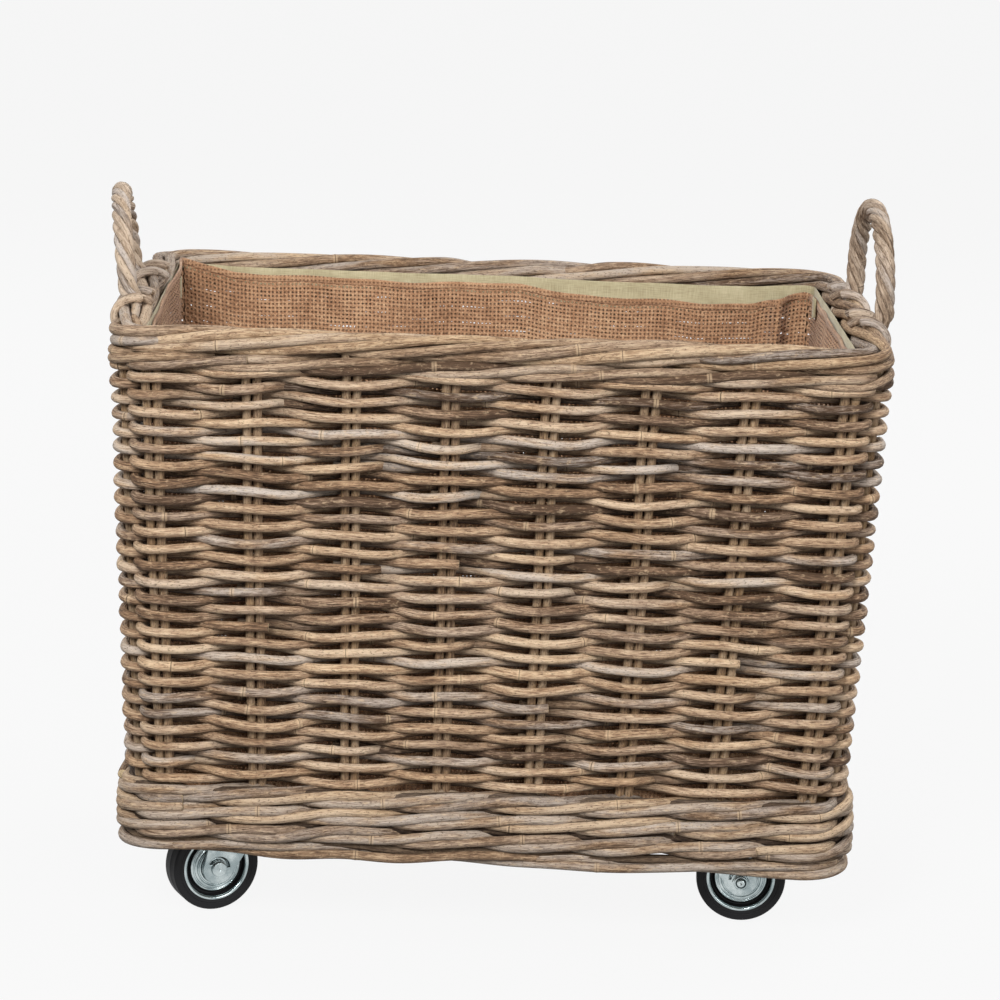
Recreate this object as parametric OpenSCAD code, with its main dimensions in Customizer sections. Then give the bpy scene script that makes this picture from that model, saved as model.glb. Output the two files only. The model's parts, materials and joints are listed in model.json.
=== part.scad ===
// Rattan log basket on four swivel castors, with rope handles and a hessian liner.
// The origin is on the floor under the middle of the basket. +X is to its right, the front faces -Y.

/* [Basket] */
// Half the length between the stake lines of the two ends, at the top of the siding
half_x = 300; // [280:1:320]
// Half the depth between the stake lines of the front and back, at the top of the siding
half_y = 203; // [185:1:225]
// How far each wall leans in from the top of the siding to its bottom
lean = 15; // [8:1:20]
// Corner radius of the stake line
corner_r = 26; // [22:1:30]
// Height of the bottom of the siding above the floor
siding_low = 131; // [125:1:140]
// Height of the top of the siding above the floor
siding_high = 478; // [430:1:520]
// Half the thickness of the woven siding
weave_half = 11; // [10.5:0.5:12]

/* [Stakes] */
// Pairs of stakes in the front and in the back
long_pairs = 8; // [6:1:9]
// Pairs of stakes in each end
short_pairs = 6; // [4:1:6]
// Diameter of a stake
stake_d = 7.5; // [6:0.5:8]
// Gap between the two stakes of a pair
stake_gap = 1; // [0.5:0.5:2]
// Distance from the corner of the stake line to the outermost pair, at the top
corner_pair = 22; // [20:1:24]

/* [Rim and foot] */
// Height of the rim band
rim_h = 29; // [26:1:40]
// How far the rim stands out from the stake line
rim_out = 12.5; // [12:0.5:16]
// How far the rim reaches in from the stake line
rim_in = 14; // [12:0.5:15]
// Height of the bottom of the foot band above the floor
foot_low = 71; // [70:1:80]
// How far the foot band stands out from the stake line
foot_out = 20; // [16:0.5:22]

/* [Base board] */
// Height of the underside of the base board above the floor, which is the castors' overall height
board_low = 100; // [100:1:100]
// Thickness of the base board
board_t = 12; // [9:1:15]

/* [Handles] */
// Radius of the arch of a handle, to the middle of its rope
arch_r = 70; // [64:1:72]
// Diameter of the rope of a handle
rope_d = 19; // [16:0.5:20]
// Height of the top of the handles above the floor
handle_top = 597; // [596:1:615]
// How far a handle leans outwards
handle_lean = 8.5; // [4:0.5:12]

/* [Castors] */
// Diameter of a wheel
wheel_d = 75; // [75:1:75]
// Width of a tyre
tyre_w = 23; // [20:1:24]
// Distance from the swivel's axis to the axle
trail = 30; // [25:1:32]
// Distance from the middle of the castor group to a swivel, along the length
castor_x = 194; // [180:1:198]
// Distance from the middle of the basket to a swivel, along the depth
castor_y = 107; // [90:1:112]
// How far the castor group sits to the left of the middle
castor_shift = 6; // [0:1:8]
// Side of the square top plate
plate_side = 64; // [60:1:68]

/* [Liner] */
// Height of the hem where the hessian meets the cotton band
hem_z = 470; // [440:1:480]
// Thickness of the hessian
hessian_t = 3; // [2:0.5:4]

/* [Hidden] */
SIDES = ["front", "back", "left", "right"];
$fn = 64;

rattan = [0.70, 0.60, 0.46];
rattan_grey = [0.66, 0.60, 0.51];
rattan_dark = [0.58, 0.47, 0.35];
hessian = [0.66, 0.50, 0.35];
sage = [0.55, 0.57, 0.42];
ply = [0.78, 0.66, 0.48];
zinc = [0.78, 0.80, 0.82];
rubber = [0.08, 0.08, 0.08];

siding_h = siding_high - siding_low;
rim_high = siding_high + rim_h;
board_high = board_low + board_t;
tiny = 0.01;
fit_gap = 0.1;
run_gap = 0.05;

// Distance of the stake line from the middle at height z
function line_x(z) = half_x - lean * (siding_high - z) / siding_h;
function line_y(z) = half_y - lean * (siding_high - z) / siding_h;

// Distance of the outermost pair from the middle of a wall, at height z
pair_lean = 18;
function pair_x(z) = half_x - corner_pair - pair_lean * (siding_high - z) / siding_h;
function pair_y(z) = half_y - corner_pair - pair_lean * (siding_high - z) / siding_h;

stake_low = foot_low + 6;
stake_top = rim_high - 14;
board_edge = 8;

// Handle frame
rope_r = rope_d / 2;
arch_z = handle_top - arch_r - rope_r;
leg_h = (arch_z - rim_high) / cos(handle_lean);
leg_foot = 2.2;
core_r = 4;
core_low = 430;
wrap_h = 6;
wrap_t = 3;

// Castors: name, side along X, side along Y, and the heading of the trail at rest
CASTORS = [["fl", -1, -1, 205], ["fr", 1, -1, -4], ["bl", -1, 1, 160], ["br", 1, 1, 20]];
wheel_r = wheel_d / 2;
plate_t = 2.5;
screw_grid = 45;
screw_r = 2.4;
screw_in = 8;
screw_head_r = 5;
kingpin_r = 5;
crown_low = 84;
crown_t = 3;
crown_back = 16;
race_r = 23;
axle_r = 4;
leg_t = 2.5;
fork_gap = 14;
leg_end_r = 13.5;
rim_seat_r = 28.8;

// A rounded rectangle from its full sides
module round_rect(w, d, r) {
    square([w - 2 * r, d], center = true);
    square([w, d - 2 * r], center = true);
    for (i = [-1, 1], j = [-1, 1])
        translate([i * (w / 2 - r), j * (d / 2 - r)])
            circle(r = r);
}

// A level ring that follows the stake line of height zl, from out outside it to in inside it
module level_ring(z0, z1, zl, out, in) {
    translate([0, 0, z0])
        linear_extrude(z1 - z0)
            difference() {
                round_rect(2 * (line_x(zl) + out), 2 * (line_y(zl) + out), corner_r + out);
                round_rect(2 * (line_x(zl) - in), 2 * (line_y(zl) - in), corner_r - in);
            }
}

// A level solid that follows the stake line of height zl at a distance off it
module level_slab(z0, z1, zl, off) {
    translate([0, 0, z0])
        linear_extrude(z1 - z0)
            round_rect(2 * (line_x(zl) + off), 2 * (line_y(zl) + off), max(corner_r + off, 6));
}

// A leaning solid that follows the stake line at a distance off it
module leaning_block(z0, z1, off) {
    hull() {
        level_slab(z0, z0 + tiny, z0, off, $fn = 32);
        level_slab(z1 - tiny, z1, z1, off, $fn = 32);
    }
}

// The share of space that belongs to one wall: the corners are mitred
module side_wedge(side) {
    m = half_x - half_y;
    far = 500;
    translate([0, 0, -1])
        linear_extrude(800)
            rotate(side == "back" || side == "left" ? 180 : 0)
                if (side == "front" || side == "back")
                    polygon([[-m, 0], [m, 0], [m + far, -far], [-m - far, -far]]);
                else
                    polygon([[m, 0], [m + far, -far], [m + far, far]]);
}

// A straight rod between two points
module rod(p, q, r, sides = 32) {
    v = q - p;
    translate(p)
        rotate([0, acos(v.z / norm(v)), atan2(v.y, v.x)])
            cylinder(h = norm(v), r = r, $fn = sides);
}

// The radius of a twelve-sided hole that clears a rod of radius r all round
HOLE_SIDES = 12;
function hole_r(r) = (r + fit_gap) / cos(180 / HOLE_SIDES);

// The stakes of one wall from height z0 to z1
module stake_rods(side, z0, z1, r, sides = 32) {
    along_x = side == "front" || side == "back";
    sgn = side == "front" || side == "left" ? -1 : 1;
    n = along_x ? long_pairs : short_pairs;
    off = (stake_d + stake_gap) / 2;
    for (i = [0:n - 1], k = [-1, 1]) {
        s = -1 + 2 * i / (n - 1);
        if (along_x)
            rod([s * pair_x(z0) + k * off, sgn * line_y(z0), z0],
                [s * pair_x(z1) + k * off, sgn * line_y(z1), z1], r, sides);
        else
            rod([sgn * line_x(z0), s * pair_y(z0) + k * off, z0],
                [sgn * line_x(z1), s * pair_y(z1) + k * off, z1], r, sides);
    }
}

module stakes(side) {
    color(rattan_dark)
        stake_rods(side, stake_low, stake_top, stake_d / 2);
}

// Holes for the stakes, which run past both ends of them
module stake_holes(side) {
    stake_rods(side, stake_low - fit_gap, stake_top + fit_gap, hole_r(stake_d / 2), HOLE_SIDES);
}

module base_board() {
    color(ply)
        difference() {
            level_slab(board_low, board_high, board_low, board_edge);
            for (s = SIDES)
                stake_rods(s, board_low - 1, board_high + 1, hole_r(stake_d / 2), HOLE_SIDES);
            for (c = CASTORS)
                at_plate(c)
                    plate_hole_spots()
                        translate([0, 0, -1])
                            cylinder(h = screw_in + 2, r = screw_r + fit_gap);
        }
}

module siding(side) {
    past = 2;
    color(rattan)
        intersection() {
            difference() {
                leaning_block(siding_low, siding_high, weave_half);
                leaning_block(siding_low - past, siding_high + past, -weave_half);
                stake_holes(side);
                if (side == "left" || side == "right")
                    handle_cores(side, hole_r(core_r), HOLE_SIDES);
            }
            side_wedge(side);
        }
}

// The rim is rounded off by narrower rings at its top and bottom
module rim(side) {
    step = 4;
    color(rattan_grey)
        difference() {
            intersection() {
                union() {
                    level_ring(siding_high, siding_high + step, siding_high, rim_out - step / 2, rim_in - step / 2);
                    level_ring(siding_high + step, rim_high - step, siding_high, rim_out, rim_in);
                    level_ring(rim_high - step, rim_high, siding_high, rim_out - step, rim_in - step);
                }
                side_wedge(side);
            }
            stake_holes(side);
            if (side == "left" || side == "right")
                handle_cores(side, hole_r(core_r), HOLE_SIDES);
        }
}

// The foot band grips the edge of the base board and hangs below it as a skirt
module foot(side) {
    tuck = 5;
    color(rattan_grey)
        difference() {
            intersection() {
                union() {
                    level_ring(foot_low, foot_low + 20, board_low, foot_out - tuck, weave_half);
                    level_ring(foot_low + 20, siding_low - 6, board_low, foot_out, weave_half);
                    level_ring(siding_low - 6, siding_low, board_low, foot_out - tuck, weave_half);
                }
                side_wedge(side);
            }
            level_slab(board_low, board_high, board_low, board_edge);
            stake_holes(side);
        }
}

// Moves a handle's own frame, with its arch over Y and its foot at the origin, onto the rim
module handle_frame(side) {
    sgn = side == "left" ? -1 : 1;
    translate([sgn * line_x(rim_high), 0, rim_high])
        rotate([0, sgn * handle_lean, 0])
            children();
}

// The two inner rods of a handle, which run down beside the stakes into the siding
module handle_cores(side, r, sides = 32) {
    sgn = side == "left" ? -1 : 1;
    past = 5;
    low = core_low - (sides == HOLE_SIDES ? fit_gap : 0);
    for (s = [-1, 1])
        rod([sgn * line_x(rim_high), s * arch_r, rim_high + past], [sgn * line_x(low), s * arch_r, low], r, sides);
}

// A stretch of both legs in the handle's own frame, from height z0 to z1 of that frame
module handle_legs(z0, z1, r) {
    for (s = [-1, 1])
        translate([0, s * arch_r, z0])
            cylinder(h = z1 - z0, r = r);
}

// The legs run a little way into the arch, so that the rope is one piece
module handle(side) {
    splice = 2;
    color(rattan_grey) {
        handle_frame(side) {
            translate([0, 0, leg_h])
                rotate([90, 0, 90])
                    rotate_extrude(angle = 180)
                        translate([arch_r, 0])
                            circle(r = rope_r);
            handle_legs(leg_foot, leg_h + splice, rope_r - fit_gap);
        }
        handle_cores(side, core_r);
    }
}

// Strands laid round the foot of each leg where it meets the rim
module handle_wraps(side) {
    low = leg_foot + 1;
    color(rattan)
        handle_frame(side)
            difference() {
                handle_legs(low, low + wrap_h, rope_r + wrap_t + fit_gap);
                handle_legs(low - 1, low + wrap_h + 1, rope_r + fit_gap);
            }
}

// The liner is a bag inside the siding, open at the top
module liner_bag() {
    gap = weave_half + 3;
    past = 12;
    color(hessian)
        difference() {
            leaning_block(board_high, hem_z, -gap);
            leaning_block(board_high + hessian_t, hem_z + past, -gap - hessian_t);
        }
}

module liner_band() {
    band_h = 22;
    gap = rim_in + 0.3;
    color(sage)
        level_ring(hem_z + 0.2, hem_z + band_h, siding_high, -gap, gap + 2);
}

// Tape ties on the inside of the band, one near each corner of the two ends
module liner_ties() {
    tie = [2, 16, 20];
    tie_y = 140;
    gap = rim_in + 2.5;
    color(sage)
        for (i = [-1, 1], j = [-1, 1])
            translate([i * (half_x - gap - tie.x / 2), j * tie_y, hem_z + 2 + tie.z / 2])
                cube(tie, center = true);
}

// Places a castor's top plate frame: the swivel's axis at the underside of the base board
module at_plate(c) {
    translate([c[1] * castor_x - castor_shift, c[2] * castor_y, board_low])
        children();
}

// Places a castor's fork frame: the swivel's axis at floor height, with the trail along +X
module at_fork(c) {
    translate([c[1] * castor_x - castor_shift, c[2] * castor_y, 0])
        rotate(c[3])
            children();
}

// Places the axle frame: the middle of the wheel, with the axle along Z and its head at +Z
module at_axle(c) {
    at_fork(c)
        translate([trail, 0, wheel_r])
            rotate([-90, 0, 0])
                children();
}

module plate_hole_spots() {
    for (i = [-1, 1], j = [-1, 1])
        translate([i * screw_grid / 2, j * screw_grid / 2, 0])
            children();
}

module plate(c) {
    color(zinc)
        at_plate(c)
            difference() {
                translate([0, 0, -plate_t])
                    linear_extrude(plate_t)
                        round_rect(plate_side, plate_side, 6);
                plate_hole_spots()
                    translate([0, 0, -plate_t - 1])
                        cylinder(h = plate_t + 2, r = screw_r + 0.8);
                translate([0, 0, -plate_t - 1])
                    cylinder(h = plate_t + 2, r = kingpin_r);
            }
}

module plate_screws() {
    color(zinc)
        for (c = CASTORS)
            at_plate(c)
                plate_hole_spots() {
                    translate([0, 0, -plate_t])
                        cylinder(h = plate_t + screw_in, r = screw_r);
                    translate([0, 0, -plate_t - 2])
                        cylinder(h = 2, r = screw_head_r);
                }
}

// Each kingpin is a rivet whose head holds the fork up to the plate
module kingpins() {
    head_h = 3;
    color(zinc)
        for (c = CASTORS)
            at_fork(c) {
                translate([0, 0, crown_low - 0.3])
                    cylinder(h = board_low - crown_low + 0.3, r = kingpin_r);
                translate([0, 0, crown_low - 0.3 - head_h])
                    cylinder(h = head_h, r = kingpin_r + 3.5);
            }
}

// The ball race between the plate and the crown of the fork
module race(c) {
    top = board_low - plate_t - 0.4;
    base = crown_low + crown_t;
    color(zinc)
        at_fork(c)
            rotate_extrude()
                polygon([[11, base], [race_r, base], [race_r, base + 4], [race_r - 3, top - 2],
                         [race_r - 5, top], [11, top]]);
}

// Outline of a fork leg in the plane of its side, from the crown to the axle
module leg_outline() {
    tilt = 20;
    translate([trail, wheel_r])
        circle(r = leg_end_r);
    polygon([[-crown_back, crown_low + crown_t], [trail - 2, crown_low + crown_t],
             [trail + leg_end_r * cos(tilt), wheel_r + leg_end_r * sin(tilt)],
             [trail, wheel_r],
             [trail - leg_end_r * cos(tilt), wheel_r - leg_end_r * sin(tilt)]]);
}

// The arched slot above the axle in each leg
module leg_slot() {
    inner = 8.4;
    outer = 11.2;
    translate([trail, wheel_r])
        intersection() {
            difference() {
                circle(r = outer);
                circle(r = inner);
            }
            polygon([[0, 0], [20, 9], [20, 30], [-20, 30], [-20, 9]]);
        }
}

module fork(c) {
    color(zinc)
        at_fork(c) {
            difference() {
                union() {
                    for (s = [-1, 1])
                        translate([0, s * (fork_gap + leg_t / 2), 0])
                            rotate([90, 0, 0])
                                linear_extrude(leg_t, center = true)
                                    difference() {
                                        leg_outline();
                                        leg_slot();
                                    }
                    translate([0, 0, crown_low]) {
                        cylinder(h = crown_t, r = race_r);
                        translate([-crown_back, -fork_gap - 1, 0])
                            cube([crown_back + trail - 2, 2 * fork_gap + 2, crown_t]);
                    }
                }
                translate([0, 0, crown_low - 1])
                    cylinder(h = crown_t + 2, r = kingpin_r + run_gap);
                translate([trail, 0, wheel_r])
                    rotate([90, 0, 0])
                        cylinder(h = 60, r = axle_r, center = true);
            }
        }
}

module axle_bolt(c) {
    side = fork_gap + leg_t;
    color(zinc)
        at_axle(c) {
            translate([0, 0, -side - 9])
                cylinder(h = 2 * side + 9, r = axle_r);
            translate([0, 0, side])
                rotate_extrude()
                    polygon([[0, 0], [6.6, 0], [6.6, 1.8], [5.8, 2.6], [0, 2.8]]);
        }
}

// A lock nut: a hexagon with a round collar that grips the thread
module axle_nut(c) {
    side = fork_gap + leg_t;
    color(zinc)
        at_axle(c)
            translate([0, 0, -side])
                difference() {
                    union() {
                        translate([0, 0, -5.6])
                            cylinder(h = 5.6, r = 6.5 / cos(30), $fn = 6);
                        translate([0, 0, -7.8])
                            cylinder(h = 7.8, r = 5.6);
                    }
                    translate([0, 0, -10])
                        cylinder(h = 11, r = axle_r);
                }
}

// Two pressed discs back to back, with a groove inside the bright lip
module wheel_disc(c) {
    face = [[axle_r + run_gap, 13.4], [9, 13.4], [9.6, 11.4], [14.2, 10.8], [15.4, 9.8], [20.5, 8.6],
            [22.6, 7.4], [23.2, 4.6], [25.2, 4.6], [25.9, 10.4], [27.2, 11.2], [rim_seat_r, 11.2]];
    n = len(face);
    back = [for (i = [n - 1:-1:0]) [face[i].x, -face[i].y]];
    color(zinc)
        at_axle(c)
            rotate_extrude($fn = 96)
                polygon(concat(face, back));
}

module tyre(c) {
    shoulder = 4;
    color(rubber)
        at_axle(c)
            rotate_extrude($fn = 96)
                difference() {
                    union() {
                        translate([0, -tyre_w / 2])
                            square([wheel_r - shoulder, tyre_w]);
                        translate([0, -tyre_w / 2 + shoulder])
                            square([wheel_r, tyre_w - 2 * shoulder]);
                        for (s = [-1, 1])
                            translate([wheel_r - shoulder, s * (tyre_w / 2 - shoulder)])
                                circle(r = shoulder);
                    }
                    translate([0, -tyre_w])
                        square([rim_seat_r, 2 * tyre_w]);
                }
}

base_board();
for (s = SIDES) {
    stakes(s);
    siding(s);
    rim(s);
    foot(s);
}
for (s = ["left", "right"]) {
    handle(s);
    handle_wraps(s);
}
liner_bag();
liner_band();
liner_ties();
plate_screws();
kingpins();
for (c = CASTORS) {
    plate(c);
    race(c);
    fork(c);
    axle_bolt(c);
    axle_nut(c);
    wheel_disc(c);
    tyre(c);
}
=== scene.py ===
"""A rattan log basket on four castors: its woven, sewn and plated looks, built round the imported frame."""

import json
import logging
import math
from collections.abc import Callable
from dataclasses import dataclass, field
from enum import Enum

import bpy
import numpy as np
from mathutils import Matrix, Vector


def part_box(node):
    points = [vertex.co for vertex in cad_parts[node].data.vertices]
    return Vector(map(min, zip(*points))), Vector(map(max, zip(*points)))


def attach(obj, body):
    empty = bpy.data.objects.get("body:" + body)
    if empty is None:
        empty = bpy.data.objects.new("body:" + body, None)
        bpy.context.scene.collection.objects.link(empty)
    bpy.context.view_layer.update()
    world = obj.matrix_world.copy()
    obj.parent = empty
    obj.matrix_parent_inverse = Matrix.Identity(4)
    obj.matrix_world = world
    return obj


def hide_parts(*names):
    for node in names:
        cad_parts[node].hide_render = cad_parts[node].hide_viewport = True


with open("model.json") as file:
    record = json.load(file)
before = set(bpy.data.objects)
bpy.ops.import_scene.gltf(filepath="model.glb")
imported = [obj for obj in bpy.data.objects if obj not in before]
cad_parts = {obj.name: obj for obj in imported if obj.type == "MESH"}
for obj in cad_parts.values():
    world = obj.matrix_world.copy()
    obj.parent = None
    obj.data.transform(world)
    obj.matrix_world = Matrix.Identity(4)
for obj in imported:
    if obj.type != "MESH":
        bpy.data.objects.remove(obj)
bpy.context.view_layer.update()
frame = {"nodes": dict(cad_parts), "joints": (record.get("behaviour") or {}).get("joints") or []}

LOG = logging.getLogger("log_basket")
BASKET = "basket"
SIDES = ("front", "back", "left", "right")
CORNERS = ("fl", "fr", "bl", "br")
UP = (0.0, 0.0, 1.0)
TAU = 2.0 * math.pi
RIM_MIDDLE = -0.00075  # how far the middle of the rim stands outside the line of the stakes
WEAVE_HALF = 0.011  # half the thickness of a woven wall
HEM_HEIGHT = 0.470  # the liner's usual hem, above the floor

Surface = Callable[[np.ndarray, np.ndarray], tuple[np.ndarray, np.ndarray]]


class Slot(Enum):
    """The material slots of the part's record."""

    PLYWOOD = "plywood"
    STAKE = "stake_rattan"
    SIDING = "siding_rattan"
    BORDER = "border_rattan"
    HANDLE = "handle_rattan"
    HESSIAN = "hessian"
    COTTON = "cotton"
    ZINC = "zinc_steel"
    WHEEL = "wheel_steel"
    RUBBER = "tyre_rubber"


def rgb(code: str) -> tuple[float, float, float, float]:
    """Turn a display colour such as A08060 into the linear colour that a shader takes.

    Args:
        code: Six hexadecimal digits, red first.

    Returns:
        Red, green, blue and alpha, from 0 to 1.
    """
    parts = [int(code[i:i + 2], 16) / 255.0 for i in (0, 2, 4)]
    linear = [p / 12.92 if p <= 0.04045 else ((p + 0.055) / 1.055) ** 2.4 for p in parts]
    return (linear[0], linear[1], linear[2], 1.0)


def ease(x: np.ndarray) -> np.ndarray:
    """Turn a rise from 0 to 1 into one with level ends."""
    x = np.clip(x, 0.0, 1.0)
    return x * x * (3.0 - 2.0 * x)


def dress(piece: bpy.types.Object, material: bpy.types.Material) -> None:
    """Give a piece one material all over.

    Args:
        piece: The piece.
        material: Its finish.
    """
    piece.data.materials.clear()
    piece.data.materials.append(material)
    for polygon in piece.data.polygons:
        polygon.material_index = 0


def put(mesh: bpy.types.Mesh, body: str, slot: Slot, material: bpy.types.Material,
        *nodes: str) -> bpy.types.Object:
    """Make a mesh into a piece of the same name, which rides on a body and stands for CAD nodes.

    Args:
        mesh: The mesh, in the frame of the whole part.
        body: The body that it moves with.
        slot: The record's slot that its finish belongs to. It is not used.
        material: Its finish.
        *nodes: The CAD nodes that it stands for.

    Returns:
        The piece.
    """
    piece = bpy.data.objects.new(mesh.name, mesh)
    bpy.context.scene.collection.objects.link(piece)
    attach(piece, body)
    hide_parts(*nodes)
    dress(piece, material)
    LOG.info("%s: %d faces on %s", piece.name, len(mesh.polygons), body)
    return piece


# ---------------------------------------------------------------- finishes


class NodeSketch:
    """A material's node tree, with short ways to add to it."""

    def __init__(self, name: str) -> None:
        """Start a material with one Principled shader.

        Args:
            name: The material's name.
        """
        self.material = bpy.data.materials.new(name)
        self.material.use_nodes = True
        self.tree = self.material.node_tree
        self.shader = self.tree.nodes["Principled BSDF"]

    def add(self, kind: str, **settings: object) -> bpy.types.Node:
        """Add a node and set its properties.

        Args:
            kind: The node's type name.
            **settings: Properties of the node.

        Returns:
            The node.
        """
        node = self.tree.nodes.new(kind)
        for key, value in settings.items():
            setattr(node, key, value)
        return node

    def feed(self, socket: bpy.types.NodeSocket, value: object) -> None:
        """Link an output to a socket, or set the socket to a plain value.

        Args:
            socket: The input.
            value: An output, a number or a colour.
        """
        if isinstance(value, bpy.types.NodeSocket):
            self.tree.links.new(value, socket)
        else:
            socket.default_value = value

    def attribute(self, name: str, output: str) -> bpy.types.NodeSocket:
        """Read one of the mesh's own point attributes."""
        return self.add("ShaderNodeAttribute", attribute_name=name).outputs[output]

    def place(self) -> bpy.types.NodeSocket:
        """Read where a point is on the piece, in metres."""
        return self.add("ShaderNodeTexCoord").outputs["Object"]

    def split(self, vector: object, kind: str = "ShaderNodeSeparateXYZ") -> list[bpy.types.NodeSocket]:
        """Take a vector or a colour apart.

        Args:
            vector: The vector or colour.
            kind: The type name of the node that does it.

        Returns:
            Its three numbers.
        """
        node = self.add(kind)
        self.feed(node.inputs[0], vector)
        return list(node.outputs)

    def sum(self, kind: str, a: object, b: object = 0.0, clamp: bool = False) -> bpy.types.NodeSocket:
        """Work out one number from two.

        Args:
            kind: The operation, such as MULTIPLY.
            a: The first number or output.
            b: The second number or output.
            clamp: Keep the result from 0 to 1.

        Returns:
            The result's output.
        """
        node = self.add("ShaderNodeMath", operation=kind, use_clamp=clamp)
        self.feed(node.inputs[0], a)
        self.feed(node.inputs[1], b)
        return node.outputs[0]

    def swing(self, value: object, amount: float) -> bpy.types.NodeSocket:
        """Centre a noise on zero and scale it."""
        return self.sum("MULTIPLY", self.sum("SUBTRACT", value, 0.5), amount)

    def stretch(self, vector: object, scale: tuple[float, float, float]) -> bpy.types.NodeSocket:
        """Scale a vector by a different amount along each axis.

        Args:
            vector: The vector.
            scale: The three amounts.

        Returns:
            The scaled vector.
        """
        node = self.add("ShaderNodeVectorMath", operation="MULTIPLY")
        self.feed(node.inputs[0], vector)
        node.inputs[1].default_value = scale
        return node.outputs[0]

    def noise(self, vector: object, scale: float = 1.0, detail: float = 3.0,
              rough: float = 0.55) -> bpy.types.NodeSocket:
        """Add smooth noise.

        Args:
            vector: Where it is read.
            scale: How many blobs there are to one unit.
            detail: How many finer layers it has.
            rough: How strong those are.

        Returns:
            The noise, about 0.5 on average.
        """
        node = self.add("ShaderNodeTexNoise")
        self.feed(node.inputs["Vector"], vector)
        node.inputs["Scale"].default_value = scale
        node.inputs["Detail"].default_value = detail
        node.inputs["Roughness"].default_value = rough
        return node.outputs["Fac"]

    def ramp(self, value: object, stops: list[tuple[float, tuple]]) -> bpy.types.NodeSocket:
        """Turn a number into a colour.

        Args:
            value: The number.
            stops: Places from 0 to 1, each with its colour.

        Returns:
            The colour.
        """
        node = self.add("ShaderNodeValToRGB")
        elements = node.color_ramp.elements
        while len(elements) < len(stops):
            elements.new(0.5)
        for element, (place, colour) in zip(elements, stops):
            element.position = place
            element.color = colour
        self.feed(node.inputs[0], value)
        return node.outputs[0]

    def streaks(self, vector: object, scale: tuple[float, float, float],
                rough: float = 0.6) -> bpy.types.NodeSocket:
        """Add noise that is drawn out along one direction, with three finer layers."""
        return self.noise(self.stretch(vector, scale), 1.0, 3.0, rough)

    def span(self, value: object, low: float, high: float) -> bpy.types.NodeSocket:
        """Rise smoothly from 0 to 1.

        Args:
            value: The number that it follows.
            low: Where it is still 0.
            high: Where it reaches 1.

        Returns:
            The smooth rise.
        """
        node = self.add("ShaderNodeMapRange", interpolation_type="SMOOTHSTEP")
        self.feed(node.inputs["Value"], value)
        node.inputs["From Min"].default_value = low
        node.inputs["From Max"].default_value = high
        return node.outputs[0]

    def mix(self, amount: object, a: object, b: object, blend: str = "MIX") -> bpy.types.NodeSocket:
        """Mix two colours.

        Args:
            amount: How much of the second there is.
            a: The first colour.
            b: The second colour.
            blend: The way they are mixed.

        Returns:
            The mixed colour.
        """
        node = self.add("ShaderNodeMix", data_type="RGBA", blend_type=blend)
        self.feed(node.inputs[0], amount)
        self.feed(node.inputs[6], a)
        self.feed(node.inputs[7], b)
        return node.outputs[2]

    def stain(self, value: object, low: float, high: float, most: float, colour: object,
              code: str) -> bpy.types.NodeSocket:
        """Stain a colour wherever a value is high.

        Args:
            value: The number that says where.
            low: Where the stain starts.
            high: Where it is at its strongest.
            most: How strong that is, from 0 to 1.
            colour: The colour beneath it.
            code: The stain's own colour, as six hexadecimal digits.

        Returns:
            The stained colour.
        """
        return self.mix(self.sum("MULTIPLY", self.span(value, low, high), most), colour, rgb(code))

    def relief(self, height: object, depth: float, strength: float = 1.0) -> None:
        """Raise the surface.

        Args:
            height: The height, from 0 to 1.
            depth: What it is multiplied by, in metres.
            strength: How strongly it tells.
        """
        node = self.add("ShaderNodeBump")
        node.inputs["Strength"].default_value = strength
        node.inputs["Distance"].default_value = depth
        self.feed(node.inputs["Height"], height)
        self.feed(self.shader.inputs["Normal"], node.outputs[0])

    def surface(self, **values: object) -> None:
        """Set the shader's own sockets, whose names have spaces for underscores."""
        for key, value in values.items():
            self.feed(self.shader.inputs[key.replace("_", " ")], value)


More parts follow.
